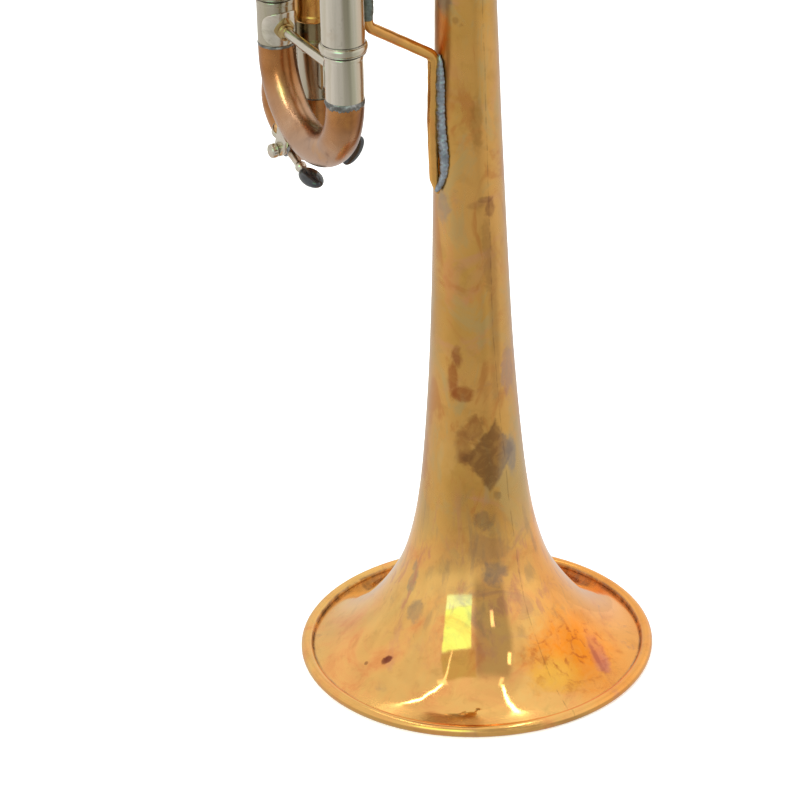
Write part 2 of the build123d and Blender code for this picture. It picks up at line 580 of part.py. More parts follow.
# ------------------------------------------------------------------ main water key
# two lugs on the crook, either side of the lever's barrel
LUG_THICK = 2.0
with BuildPart() as main_key_saddle:
    for x in (KEY_X0 - 0.2 - LUG_THICK, KEY_X1 + 0.2):
        with BuildSketch(Plane(origin=(x, KEY_Y, KEY_Z), x_dir=KEY_DIR, z_dir=(1, 0, 0))):
            Circle(2.4)
            with Locations((-5.6, 0)):
                Rectangle(11.2, 4.8)
            Circle(1.05, mode=Mode.SUBTRACT)
        extrude(amount=LUG_THICK)
    sweep_round(main_crook_path, CROOK_R + FIT, mode=Mode.SUBTRACT)
export(main_key_saddle, "main_key_saddle")

KEY_SCREW = [           # (x, radius), head on the -X side
    (KEY_X0 - 5.0, 0), (KEY_X0 - 5.0, 1.7), (KEY_X0 - 4.6, 2.2), (KEY_X0 - 2.25, 2.2),
    (KEY_X0 - 2.25, 1.0), (KEY_X1 + 3.4, 1.0), (KEY_X1 + 3.7, 0.7), (KEY_X1 + 3.7, 0)]
with BuildPart() as main_key_screw:
    turn_x(KEY_SCREW, KEY_Y, KEY_Z)
    with Locations((KEY_X0 - 5.0, KEY_Y, KEY_Z)):
        Box(1.4, 0.6, 5, mode=Mode.SUBTRACT)
export(main_key_screw, "main_key_screw")

# lever: barrel on the screw, arm to the touch, short back arm carrying the cork cup
TOUCH_Y, TOUCH_Z = 26.9, 181.4
with BuildLine() as main_arm:
    Spline((X_LEAD, KEY_Y - 1, KEY_Z - 0.4), (X_LEAD, 38, 183.4), (X_LEAD, 33, 181.9),
           (X_LEAD, TOUCH_Y + 1, TOUCH_Z))
main_arm_path = main_arm.wire()


def touch_plane(drop):
    """Slightly tilted plane, a given drop below the touch centre."""
    return Plane(origin=(X_LEAD, TOUCH_Y, TOUCH_Z - drop), x_dir=(0, 1, 0), z_dir=(0, 0.06, 1))


def barrel_outline(radius, overhang):
    """(x, radius) cylinder across the barrel gap, reaching past each face by overhang."""
    x_start, x_end = KEY_X0 - overhang, KEY_X1 + overhang
    return [(x_start, 0), (x_start, radius), (x_end, radius), (x_end, 0)]


with BuildPart() as main_key_lever:
    turn_x(barrel_outline(2.2, -0.1), KEY_Y, KEY_Z)
    sweep_round(main_arm_path, 1.25)
    # plate inside the touch
    with BuildSketch(touch_plane(0.55)):
        Ellipse(5.6, 2.9)
    extrude(amount=1.1)
    # back arm
    with BuildSketch(Plane(origin=(X_LEAD, KEY_Y, KEY_Z), x_dir=(1, 0, 0),
                           z_dir=(0, -KEY_DIR_Z, KEY_DIR_Y))):
        Rectangle(3.0, 1.8)
    extrude(amount=KEY_BACK - 1.5)
    # cork cup
    with BuildSketch(cork_plane(2.1)):
        Circle(3.1)
    extrude(amount=3.0)
    with BuildSketch(cork_plane(2.2)):
        Circle(2.65)
    extrude(amount=1.4, mode=Mode.SUBTRACT)
    turn_x(barrel_outline(1.05, 1), KEY_Y, KEY_Z, mode=Mode.SUBTRACT)
export(main_key_lever, "main_key_lever")

with BuildPart() as main_key_cork:
    with BuildSketch(cork_plane(4.55)):
        Circle(2.6)
    extrude(amount=3.7)
export(main_key_cork, "main_key_cork")

with BuildPart() as main_key_touch:
    with BuildSketch(touch_plane(2.4)):
        Ellipse(6.4, 3.6)
    extrude(amount=4.4)
    fillet(main_key_touch.edges(), radius=1.5)
    # pocket for the lever's plate and arm
    with BuildSketch(touch_plane(0.6)):
        Ellipse(5.65, 2.95)
    extrude(amount=1.25, mode=Mode.SUBTRACT)
    sweep_round(main_arm_path, 1.3, mode=Mode.SUBTRACT)
export(main_key_touch, "main_key_touch")

# ------------------------------------------------------------------ third valve slide
THIRD_TUBE = [          # (radius, z): sleeve below the lip, inner tube above
    (BORE, Z3_FERRULE), (6.38, Z3_FERRULE), (6.44, Z3_FERRULE + 0.6),
    (SLEEVE_R, Z3_FERRULE + 1.2), (SLEEVE_R, Z3_LIP - 1.8), (6.55, Z3_LIP - 1.5),
    (6.55, Z3_LIP - 0.6), (6.3, Z3_LIP - 0.3), (INNER_R, Z3_LIP - 0.3), (INNER_R, 254.5),
    (BORE, 254.5)]
with BuildPart() as third_slide_tubes:
    for y in (Y3_UP, Y3_LOW):
        turn_z(THIRD_TUBE, X_THIRD, y)
export(third_slide_tubes, "third_slide_tubes")

THIRD_CROOK_R = 6.36
third_crook_path = arc_path(
    (X_THIRD, Y3_UP, Z3_CROOK), (X_THIRD, Y3_MID, Z3_CROOK - (Y3_LOW - Y3_UP) / 2),
    (X_THIRD, Y3_LOW, Z3_CROOK),
    lead_in=(X_THIRD, Y3_UP, Z3_FERRULE), lead_out=(X_THIRD, Y3_LOW, Z3_FERRULE))
KEY3_X, KEY3_Y, KEY3_Z = X_THIRD + 1.5, 43.2, 181.8     # third key pivot, parallel to Z
with BuildPart() as third_slide_crook:
    sweep_round(third_crook_path, THIRD_CROOK_R)
    # two lugs for the key's pivot
    for z in (KEY3_Z - 4.6, KEY3_Z + 2.8):
        with BuildSketch(Plane((KEY3_X, KEY3_Y, z))):
            Circle(2.1)
            with Locations((0, 4.5)):
                Rectangle(3.6, 9)
            Circle(0.85, mode=Mode.SUBTRACT)
        extrude(amount=1.8)
    sweep_round(third_crook_path, BORE, mode=Mode.SUBTRACT)
export(third_slide_crook, "third_slide_crook")

Z_FINGER_RING = 208.5
with BuildPart() as third_finger_ring:
    with BuildSketch(Plane((X_THIRD, 0, 0), x_dir=(0, 1, 0), z_dir=(1, 0, 0))):
        with Locations((Y3_UP - 19.2, Z_FINGER_RING)):
            Circle(13.0)
            Circle(10.4, mode=Mode.SUBTRACT)
    extrude(amount=1.6, both=True)
    fillet(third_finger_ring.edges().filter_by(GeomType.CIRCLE), radius=0.9)
    # foot on the tube
    with BuildSketch(Plane(origin=(X_THIRD, Y3_UP - 8.4, Z_FINGER_RING), x_dir=(1, 0, 0),
                           z_dir=(0, 1, 0))):
        SlotCenterToCenter(8, 5.4, rotation=90)
    extrude(amount=4)
    cut_z(SLEEVE_R + FIT, 195, 216.5, X_THIRD, Y3_UP)
export(third_finger_ring, "third_finger_ring")

STOP_ROD = [            # (radius, z)
    (0, 202.5), (1.2, 202.5), (1.2, 215.6), (2.1, 215.9), (2.1, 219.2), (1.2, 219.5),
    (1.2, 251), (2.1, 251.2), (2.3, 252), (2.3, 254), (2.1, 254.8), (0, 254.8)]
CROSS_BAR = [           # (radius, y)
    (0, Y3_UP), (1.4, Y3_UP), (1.4, Y3_MID - 3), (2.4, Y3_MID - 1.4), (2.4, Y3_MID + 1.4),
    (1.4, Y3_MID + 3), (1.4, Y3_LOW), (0, Y3_LOW)]
with BuildPart() as third_slide_stop_rod:
    turn_z(STOP_ROD, X_THIRD, Y3_MID)
    turn_y(CROSS_BAR, X_THIRD, 206)
    for y in (Y3_UP, Y3_LOW):
        cut_z(SLEEVE_R + FIT, 200, 213, X_THIRD, y)
export(third_slide_stop_rod, "third_slide_stop_rod")

TOUCH3_X, TOUCH3_Y, TOUCH3_Z = -21.2, 43.4, 178.8
with BuildLine() as third_arm:
    Line((KEY3_X, KEY3_Y, KEY3_Z), (TOUCH3_X, TOUCH3_Y, TOUCH3_Z))
third_arm_path = third_arm.wire()
with BuildPart() as third_key_lever:
    # barrel, arm, then pivot pin
    with BuildSketch(Plane((KEY3_X, KEY3_Y, KEY3_Z - 2.6))):
        Circle(2.0)
    extrude(amount=5.2)
    sweep_round(third_arm_path, 1.1)
    with BuildSketch(Plane((KEY3_X, KEY3_Y, KEY3_Z - 5.2))):
        Circle(0.8)
    extrude(amount=10.4)
export(third_key_lever, "third_key_lever")

TOUCH3_THICK = 3.4
with BuildPart() as third_key_touch:
    with BuildSketch(Plane(origin=(TOUCH3_X, TOUCH3_Y - TOUCH3_THICK / 2, TOUCH3_Z),
                           x_dir=(0.62, 0, 0.78), z_dir=(0, 1, 0))):
        Ellipse(5.6, 3.0)
    extrude(amount=TOUCH3_THICK)
    fillet(third_key_touch.edges(), radius=1.2)
    sweep_round(third_arm_path, 1.12, mode=Mode.SUBTRACT)
export(third_key_touch, "third_key_touch")

# ------------------------------------------------------------------ first valve slide
FIRST_TUBE = [          # (radius, z): inner tube below the lip, sleeve above
    (BORE, 372.5), (INNER_R, 372.5), (INNER_R, Z1_LIP + 0.3), (6.5, Z1_LIP + 0.3),
    (6.5, Z1_LIP + 1.2), (SLEEVE_R, Z1_LIP + 1.6), (SLEEVE_R, Z1_CROOK), (BORE, Z1_CROOK)]
with BuildPart() as first_slide_tubes:
    for y in (Y1_UP, Y1_LOW):
        turn_z(FIRST_TUBE, X_FIRST, y)
export(first_slide_tubes, "first_slide_tubes")

first_crook_path = arc_path(
    (X_FIRST, Y1_UP, Z1_CROOK),
    (X_FIRST, (Y1_UP + Y1_LOW) / 2, Z1_CROOK + (Y1_LOW - Y1_UP) / 2),
    (X_FIRST, Y1_LOW, Z1_CROOK))
with BuildPart() as first_slide_crook:
    sweep_round(first_crook_path, CROOK_R, BORE)
export(first_slide_crook, "first_slide_crook")

# half ring open towards the buttons, with a foot on the tube
Z_THUMB = 402.3
with BuildPart() as first_thumb_saddle:
    with BuildSketch(Plane((X_FIRST, 0, 0), x_dir=(0, 1, 0), z_dir=(1, 0, 0))):
        with Locations((Y1_UP - 18.4, Z_THUMB)):
            Circle(11.7)
            Circle(10.5, mode=Mode.SUBTRACT)
            with Locations((-8.5, 0)):
                Rectangle(17, 30, mode=Mode.SUBTRACT)
    extrude(amount=5.5, both=True)
    with BuildSketch(Plane(origin=(X_FIRST, Y1_UP - 7.4, Z_THUMB), x_dir=(1, 0, 0),
                           z_dir=(0, 1, 0))):
        Rectangle(9, 7)
    extrude(amount=3)
    cut_z(SLEEVE_R + FIT, 390, 415, X_FIRST, Y1_UP)
export(first_thumb_saddle, "first_thumb_saddle")

# ------------------------------------------------------------------ second valve slide
SECOND_TUBE = [         # (x, radius)
    (-38.5, BORE), (-38.5, INNER_R), (X2_LIP - 0.3, INNER_R), (X2_LIP - 0.3, 6.5),
    (X2_LIP - 1.2, 6.5), (X2_LIP - 1.6, SLEEVE_R), (X2_CROOK, SLEEVE_R), (X2_CROOK, BORE)]
with BuildPart() as second_slide_tubes:
    for y in (Y2_UP, Y2_LOW):
        turn_x(SECOND_TUBE, y, Z_VALVE[2])
export(second_slide_tubes, "second_slide_tubes")

X2_BEND = X2_CROOK - (Y2_LOW - Y2_UP) / 2       # outermost point of the crook's centre line
X_KNOB = X2_BEND - 6.0
PULL_KNOB = [           # (x, radius)
    (X_KNOB + 3, 0), (X_KNOB + 3, 2.4), (X_KNOB - 0.6, 2.4), (X_KNOB - 1.4, 2.0),
    (X_KNOB - 2.6, 2.2), (X_KNOB - 3.6, 3.4), (X_KNOB - 5.0, 4.0), (X_KNOB - 6.2, 3.4),
    (X_KNOB - 6.8, 1.6), (X_KNOB - 6.8, 0)]
second_crook_path = arc_path((X2_CROOK, Y2_UP, Z_VALVE[2]), (X2_BEND, Y2_MID, Z_VALVE[2]),
                             (X2_CROOK, Y2_LOW, Z_VALVE[2]))
with BuildPart() as second_slide_crook:
    sweep_round(second_crook_path, CROOK_R)
    turn_x(PULL_KNOB, Y2_MID, Z_VALVE[2])
    sweep_round(second_crook_path, BORE, mode=Mode.SUBTRACT)
export(second_slide_crook, "second_slide_crook")
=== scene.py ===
"""A three-valve trumpet standing on its bell, with its stage.

The bell's axis is the Z axis and its rim rests on z = 0; the mouthpiece points up.
The front is -Y: finger buttons face -Y and the bottom valve caps +Y. The leadpipe and the
valves stand on the -X side of the bell. Shapes are in millimetres, materials and the
stage in metres.
"""
import math

import bmesh
import bpy
import numpy as np
from mathutils import Matrix, Vector


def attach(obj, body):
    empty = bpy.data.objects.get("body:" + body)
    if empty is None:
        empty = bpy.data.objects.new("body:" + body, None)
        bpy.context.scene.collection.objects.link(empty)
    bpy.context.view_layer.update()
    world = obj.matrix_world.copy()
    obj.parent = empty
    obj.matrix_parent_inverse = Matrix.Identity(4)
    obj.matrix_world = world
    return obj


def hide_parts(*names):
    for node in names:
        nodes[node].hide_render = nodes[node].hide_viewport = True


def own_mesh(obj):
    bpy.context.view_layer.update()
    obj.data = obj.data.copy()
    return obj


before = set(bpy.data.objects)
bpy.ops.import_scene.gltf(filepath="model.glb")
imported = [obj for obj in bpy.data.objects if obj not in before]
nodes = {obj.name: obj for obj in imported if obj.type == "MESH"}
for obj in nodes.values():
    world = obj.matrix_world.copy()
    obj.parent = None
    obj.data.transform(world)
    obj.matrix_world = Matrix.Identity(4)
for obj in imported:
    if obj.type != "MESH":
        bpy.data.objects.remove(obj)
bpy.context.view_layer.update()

scene = bpy.context.scene
PI = math.pi
MM = 0.001

# ================================================================== dimensions (mm)
# bell, with its rolled rim
RIM_R, BEAD_R, BEAD_Z, WALL = 59.4, 2.1, 2.05, 0.6
RIM_WIRE_R = 1.42
BOW_Z = 414.0
# columns: height, outer radius
BELL_PROFILE = [
    (2.3, 57.6), (4.0, 53.5), (8.0, 46.8), (13.0, 40.8), (19.0, 35.4), (26.0, 30.5),
    (34.0, 26.2), (44.0, 22.7), (56.0, 20.0), (72.0, 17.78), (92.0, 15.97), (120.0, 14.12),
    (160.0, 12.5), (200.0, 11.25), (245.0, 10.2), (300.0, 9.3), (360.0, 8.65), (410.0, 8.25),
    (BOW_Z, 8.22)]
X_TAIL = -18.0  # end of the bow behind the bell

# leadpipe and main slide: near leg at y = 0, far leg at Y_FAR
X_LEAD, Y_FAR = -45.0, 49.0
Z_FERRULE, Z_LIP, CROOK_Z = 220.3, 237.0, 219.3
FAR_UP = 2.0  # the far leg's joints sit this much higher
Z_BRACE = 228.4

# valves, axes along Y
X_VALVE, VALVE_PITCH = -25.0, 27.0
Z_VALVE = {3: 292.0, 2: 292.0 + VALVE_PITCH, 1: 292.0 + 2 * VALVE_PITCH}
Y_TOP, Y_BOT = -27.0, 97.0

# tubing: bore, slide tube, and the sleeve it runs in
BORE, INNER_R, SLEEVE_IN, SLEEVE_R, SMALL_SLEEVE_R = 5.83, 6.10, 6.15, 7.15, 6.85
CROOK_R, THICK_CROOK_R = 6.32, 6.36

# valve slides: first and third run along Z, second along X
X_THIRD, Y3_NEAR, Y3_FAR = -29.0, 52.5, 80.0
Y3_MID = (Y3_NEAR + Y3_FAR) / 2
Z3_FERRULE, Z3_LIP, Z3_CROOK = 198.4, 217.2, 189.5
X_FIRST, Y1_NEAR, Y1_FAR, Z1_LIP, Z1_CROOK = -33.0, 35.5, 62.5, 396.0, 407.0
Y2_NEAR, Y2_FAR, X2_LIP, X2_CROOK = 33.0, 60.0, -51.0, -58.0
Y2_MID = (Y2_NEAR + Y2_FAR) / 2


# ================================================================== paths and outlines
def travelled(path):
    """Distance along a path at each of its points."""
    return np.concatenate([[0], np.cumsum(np.linalg.norm(np.diff(path, axis=0), axis=1))])


def tangents(path):
    tangent = np.gradient(path, axis=0)
    return tangent / np.linalg.norm(tangent, axis=1)[:, None]


def frames(path):
    """Tangent, normal and binormal along a path, without twist."""
    tangent = tangents(path)
    first = tangent[0]
    ref = np.array([1.0, 0, 0]) if abs(first[0]) < 0.8 else np.array([0, 1.0, 0])
    start = np.cross(first, np.cross(ref, first))
    normal = [start / np.linalg.norm(start)]
    for direction in tangent[1:]:
        v = normal[-1] - direction * (normal[-1] @ direction)
        normal.append(v / np.linalg.norm(v))
    normal = np.array(normal)
    return tangent, normal, np.cross(tangent, normal)


def arc(centre, radius, start, end, plane, steps):
    """Points on an arc between two angles in degrees; plane is two unit directions."""
    u, w = (np.array(d, float) for d in plane)
    angle = np.radians(np.linspace(start, end, steps))[:, None]
    return np.array(centre, float) + radius * (np.cos(angle) * u + np.sin(angle) * w)


def line(start, end, steps):
    s = np.linspace(0, 1, steps)[:, None]
    return np.array(start, float) * (1 - s) + np.array(end, float) * s


def join(*pieces):
    """One path from several, without repeating shared ends."""
    out = [pieces[0]]
    for piece in pieces[1:]:
        shared = np.linalg.norm(piece[0] - out[-1][-1]) < 1e-6
        out.append(piece[1:] if shared else piece)
    return np.concatenate(out)


def bent(points, radius, step=0.8):
    """Dense path through points with its corners rounded by arcs."""
    points = [np.array(q, float) for q in points]
    out = [points[0]]
    for before, corner, after in zip(points, points[1:], points[2:]):
        a, b = before - corner, after - corner
        len_a, len_b = np.linalg.norm(a), np.linalg.norm(b)
        a, b = a / len_a, b / len_b
        half = math.acos(max(-1, min(1, float(a @ b)))) / 2
        reach = min(radius / math.tan(half), 0.49 * len_a, 0.49 * len_b)
        bend_r = reach * math.tan(half)
        bisector = (a + b) / np.linalg.norm(a + b)
        centre = corner + bisector * (bend_r / math.sin(half))
        count = max(6, int(bend_r * (PI - 2 * half) / step))
        u, v = corner + a * reach - centre, corner + b * reach - centre
        u, v = u / np.linalg.norm(u), v / np.linalg.norm(v)
        sweep = math.acos(max(-1, min(1, float(u @ v))))
        for j in range(count + 1):
            f = j / count
            direction = math.sin((1 - f) * sweep) * u + math.sin(f * sweep) * v
            out.append(centre + bend_r * direction / math.sin(sweep))
    out.append(points[-1])
    dense = [out[0]]
    for point in out[1:]:
        base = dense[-1]
        gap = np.linalg.norm(point - base)
        if gap < 1e-6:
            continue
        count = max(1, int(gap / (step * 2)))
        dense += [base + (point - base) * j / count for j in range(1, count + 1)]
    return np.array(dense)


def spline(points, samples, power=1.0):
    """Natural cubic through points by chord length; power > 1 crowds the start."""
    p = np.array(points, float)
    s = travelled(p)
    h = np.diff(s)
    count = len(p)
    matrix = np.zeros((count, count))
    rhs = np.zeros((count, p.shape[1]))
    matrix[0, 0] = matrix[-1, -1] = 1
    for i in range(1, count - 1):
        matrix[i, i - 1:i + 2] = h[i - 1], 2 * (h[i - 1] + h[i]), h[i]
        rhs[i] = 6 * ((p[i + 1] - p[i]) / h[i] - (p[i] - p[i - 1]) / h[i - 1])
    m = np.linalg.solve(matrix, rhs)
    u = s[-1] * np.linspace(0, 1, samples) ** power
    i = np.clip(np.searchsorted(s, u, side="right") - 1, 0, count - 2)
    left, right, gap = (s[i + 1] - u)[:, None], (u - s[i])[:, None], h[i][:, None]
    cubic = (m[i] * left**3 + m[i + 1] * right**3) / (6 * gap)
    return (cubic + (p[i] / gap - m[i] * gap / 6) * left
            + (p[i + 1] / gap - m[i + 1] * gap / 6) * right)


def soften(outline, radius, steps=3, limit=14.0):
    """Rounds corners sharper than limit degrees on a closed outline, except on the axis."""
    p = np.array(outline, float)
    out = []
    for i, q in enumerate(p):
        a, b = q - p[i - 1], p[(i + 1) % len(p)] - q
        len_a, len_b = np.linalg.norm(a), np.linalg.norm(b)
        if len_a < 1e-9 or len_b < 1e-9:
            out.append(q)
            continue
        turn = math.degrees(math.acos(max(-1, min(1, float(a @ b) / len_a / len_b))))
        if turn < limit or q[0] < 1e-6:
            out.append(q)
            continue
        reach = min(radius, 0.42 * len_a, 0.42 * len_b)
        start, end = q - a / len_a * reach, q + b / len_b * reach
        for s in np.linspace(0, 1, steps + 1):
            out.append((1 - s) ** 2 * start + 2 * s * (1 - s) * q + s * s * end)
    return np.array(out)


def subdivide(outline, step):
    """Adds points along the long runs of a closed outline."""
    p = np.array(outline, float)
    out = []
    for a, b in zip(p, np.roll(p, -1, axis=0)):
        count = max(1, int(np.linalg.norm(b - a) / step))
        out += [a + (b - a) * s / count for s in range(count)]
    return np.array(out)


def dents(amount, stretch=1.0, start=0.0):
    """Slight unevenness of hand-worked tube, as a change of radius."""
    def mod(radius, along, angle):
        s = along * stretch + start
        wave = np.sin(3 * angle + s * 0.11) * np.sin(s * 0.19 + 1.3)
        wave = wave + 0.6 * np.sin(5 * angle - s * 0.07 + 2.0) * np.sin(s * 0.31)
        wave = wave + 0.5 * np.sin(2 * angle + 0.9) * np.sin(s * 0.45 + 0.4)
        return radius + amount * wave
    return mod


# ================================================================== mesh parts
class Part:
    """Collects closed grids of points, in millimetres, into one mesh."""

    def __init__(self):
        self.points, self.faces, self.count = [], [], 0

    def grid(self, points, loop=False, caps=True):
        """Skin over rows of closed rings; loop joins the last row to the first."""
        n, m = points.shape[:2]
        base = self.count
        self.points.append(points.reshape(-1, 3))
        self.count += n * m
        rows = np.arange(n if loop else n - 1)
        a, b = np.meshgrid(rows, np.arange(m), indexing="ij")
        a2, b2 = (a + 1) % n, (b + 1) % m
        quads = np.stack([a * m + b, a * m + b2, a2 * m + b2, a2 * m + b], -1)
        self.faces.extend((quads.reshape(-1, 4) + base).tolist())
        if caps and not loop:
            self.faces.append([base + k for k in range(m)][::-1])
            self.faces.append([base + (n - 1) * m + k for k in range(m)])

    def lathe(self, outline, at=(0.0, 0.0), axis="z", segs=128, mod=None):
        """Revolves a closed outline of (radius, place along the axis).

        at is the axis' place in the two other directions; mod may change the radius.
        """
        p = np.array(outline, float)
        angle = np.linspace(0, 2 * PI, segs, endpoint=False)[None, :]
        radius = p[:, 0][:, None] * np.ones_like(angle)
        along = p[:, 1][:, None] * np.ones_like(angle)
        if mod is not None:
            radius = mod(radius, along, angle)
        coords = [at[0] + radius * np.cos(angle), at[1] + radius * np.sin(angle)]
        coords.insert("xyz".index(axis), along)
        self.grid(np.stack(coords, -1), loop=True)

    def tube(self, path, radius, bore=None, segs=48, mod=None, end=0.0):
        """Sweeps a round section along a path: hollow with a bore, domed by end if solid."""
        path = np.array(path, float)
        tangent, normal, binormal = frames(path)
        angle = np.linspace(0, 2 * PI, segs, endpoint=False)
        radii = np.broadcast_to(np.array(radius, float), (len(path),))
        radii = radii[:, None] * np.ones(segs)[None, :]
        if mod is not None:
            radii = mod(radii, travelled(path)[:, None], angle[None, :])
        around = (np.cos(angle)[None, :, None] * normal[:, None, :]
                  + np.sin(angle)[None, :, None] * binormal[:, None, :])
        outer = path[:, None, :] + radii[..., None] * around
        if bore is not None:
            inner = path[:, None, :] + np.broadcast_to(
                np.array(bore, float), (len(path),))[:, None, None] * around
            self.grid(np.concatenate([outer, inner[::-1]]), loop=True)
            return
        if end > 0:
            head, tail = [], []
            for k in range(4):
                a = PI / 2 * (k + 1) / 5
                out, shrink = end * math.cos(a), math.sin(a)
                head.append(path[0] - tangent[0] * out + (outer[0] - path[0]) * shrink)
                tail.append(path[-1] + tangent[-1] * out + (outer[-1] - path[-1]) * shrink)
            outer = np.concatenate([np.array(head), outer, np.array(tail[::-1])])
        self.grid(outer)

    def plate(self, outline, origin, x_dir, y_dir, thick, bevel):
        """Flat plate with rounded edges, from a convex outline in the plane of two axes."""
        outline = np.array(outline, float)
        centre = outline.mean(0)
        size = np.linalg.norm(outline - centre, axis=1)[:, None]
        x_dir, y_dir = (np.array(v, float) / np.linalg.norm(v) for v in (x_dir, y_dir))
        z_dir = np.cross(x_dir, y_dir)
        steps = [(0.0, bevel), (0.3 * bevel, 0.3 * bevel), (bevel, 0.0)]
        steps += [(thick - height, inset) for height, inset in steps[::-1]]
        rings = []
        for height, inset in steps:
            q = centre + (outline - centre) * (1 - inset / size)
            rings.append(np.array(origin, float) + q[:, :1] * x_dir + q[:, 1:] * y_dir
                         + height * z_dir)
        self.grid(np.array(rings))

    def pill(self, centre, directions, radii, dish=0.0):
        """Oval cushion domed above and below; dish hollows its top."""
        u = np.linspace(0, 2 * PI, 56, endpoint=False)[None, :]
        v = np.linspace(-PI / 2, PI / 2, 28)[:, None]
        across = np.cos(v) ** 0.72
        x, y = across * np.cos(u), across * np.sin(u)
        z = np.sin(v) * np.ones_like(u)
        z = z - dish * np.where(z > 0, 1, 0) * np.clip(1 - (x**2 + y**2) * 1.4, 0, 1)
        points = np.array(centre, float)
        for coord, direction, radius in zip((x, y, z), directions, radii):
            unit = np.array(direction, float) / np.linalg.norm(direction)
            points = points + radius * coord[..., None] * unit
        self.grid(points, caps=False)

    def clear_bores(self, wall_r=9.15):
        """Moves points that reach into a valve casing out to the middle of its wall."""
        for p in self.points:
            for zc in Z_VALVE.values():
                dx, dz = p[:, 0] - X_VALVE, p[:, 2] - zc
                d = np.hypot(dx, dz)
                inside = (d < wall_r) & (d > 1e-6)
                k = np.where(inside, wall_r / np.maximum(d, 1e-6), 1.0)
                p[:, 0], p[:, 2] = X_VALVE + dx * k, zc + dz * k

    def build(self, name, material, body, *stands_for, sharp=32.0, merge=False):
        """Makes the object; stands_for names the CAD nodes it takes the place of."""
        mesh = bpy.data.meshes.new(name)
        mesh.from_pydata((np.concatenate(self.points) * MM).tolist(), [], self.faces)
        bm = bmesh.new()
        bm.from_mesh(mesh)
        if merge:
            bmesh.ops.remove_doubles(bm, verts=bm.verts, dist=2e-7)
            bmesh.ops.dissolve_degenerate(bm, dist=1e-8, edges=bm.edges)
        bmesh.ops.recalc_face_normals(bm, faces=bm.faces)
        bm.to_mesh(mesh)
        bm.free()
        mesh.shade_smooth()
        mesh.set_sharp_from_angle(angle=math.radians(sharp))
        ob = bpy.data.objects.new(name, mesh)
        scene.collection.objects.link(ob)
        mesh.materials.append(material)
        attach(ob, body)
        if stands_for:
            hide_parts(*stands_for)
        return ob


# ================================================================== shader graphs
def rgb(*levels):
    """Linear colour from 0 to 255 display levels."""
    def linear(level):
        c = level / 255
        return c / 12.92 if c <= 0.04045 else ((c + 0.055) / 1.055) ** 2.4
    return tuple(linear(level) for level in levels) + (1.0,)


class Value:
    """Output of a shader node; sums on it add math nodes."""

    def __init__(self, graph, socket):
        self.graph, self.socket = graph, socket

    def __add__(self, other):
        return self.graph.math("ADD", self, other)

    def __sub__(self, other):
        return self.graph.math("SUBTRACT", self, other)

    def __rsub__(self, other):
        return self.graph.math("SUBTRACT", other, self)

    def __mul__(self, other):
        return self.graph.math("MULTIPLY", self, other)

    def __pow__(self, other):
        return self.graph.math("POWER", self, other)

    def __abs__(self):
        return self.graph.math("ABSOLUTE", self)

    def ease(self, start, end, low=0.0, high=1.0):
        """Smooth change from low to high as the value goes from start to end."""
        return self.graph.add("MapRange", {
            "Value": self, "From Min": start, "From Max": end, "To Min": low,
            "To Max": high}, interpolation_type="SMOOTHSTEP")


class Graph:
    def __init__(self, tree, coordinates):
        self.tree = tree
        tree.nodes.clear()
        self.position = self.add("TexCoord", out=coordinates)

    def put(self, value, socket):
        if isinstance(value, Value):
            self.tree.links.new(value.socket, socket)
        else:
            socket.default_value = value

    def add(self, kind, inputs=None, out=0, **settings):
        """New node with its settings and inputs; gives the output named or numbered out."""
        node = self.tree.nodes.new("ShaderNode" + kind)
        for name, value in settings.items():
            setattr(node, name, value)
        for key, value in (inputs or {}).items():
            self.put(value, node.inputs[key])
        return Value(self, node.outputs[out])

    def math(self, operation, *values, clamp=False):
        return self.add("Math", dict(enumerate(values)), operation=operation, use_clamp=clamp)

    def vector(self, operation, *values):
        out = "Value" if operation in ("LENGTH", "DOT_PRODUCT") else "Vector"
        return self.add("VectorMath", dict(enumerate(values)), out, operation=operation)

    def noise(self, scale, detail=4.0, rough=0.55, warp=0.0, stretch=(1, 1, 1), shift=0.0,
              out="Fac"):
        offset = (shift, shift * 0.7, shift * 1.3)
        place = self.vector("MULTIPLY_ADD", self.position, stretch, offset)
        return self.add("TexNoise", {"Scale": scale, "Detail": detail, "Roughness": rough,
                                     "Distortion": warp, "Vector": place}, out)

    def mix(self, mask, under, over, amount=None):
        """Lays one colour over another by mask times amount.

        Colours of three numbers are display levels, those of four are linear.
        """
        if amount is not None:
            mask = mask * amount
        under, over = (rgb(*c) if isinstance(c, tuple) and len(c) == 3 else c
                       for c in (under, over))
        return self.add("Mix", {"Factor": mask, 6: under, 7: over}, 2, data_type="RGBA")

    def ramp(self, value, stops):
        """Colour ramp; stops maps positions to display levels."""
        result = self.add("ValToRGB", {0: value})
        elements = result.socket.node.color_ramp.elements
        while len(elements) < len(stops):
            elements.new(0.5)
        for element, (position, levels) in zip(elements, stops.items()):
            element.position, element.color = position, rgb(*levels)
        return result

    def split(self, vector):
        node = self.add("SeparateXYZ", {0: vector}).socket.node
        return [Value(self, socket) for socket in node.outputs]

    def bump(self, height, strength, distance, under=None):
        inputs = {"Strength": strength, "Distance": distance, "Height": height}
        if under is not None:
            inputs["Normal"] = under
        return self.add("Bump", inputs)

    def facing(self):
        return self.add("LayerWeight", {"Blend": 0.5}, "Facing")

    def across(self):
        """How far the surface turns to the camera's right (1) or left (-1)."""
        normal = self.add("NewGeometry", out="Normal")
        return self.vector("DOT_PRODUCT", normal, (0.889, -0.459, 0.0))


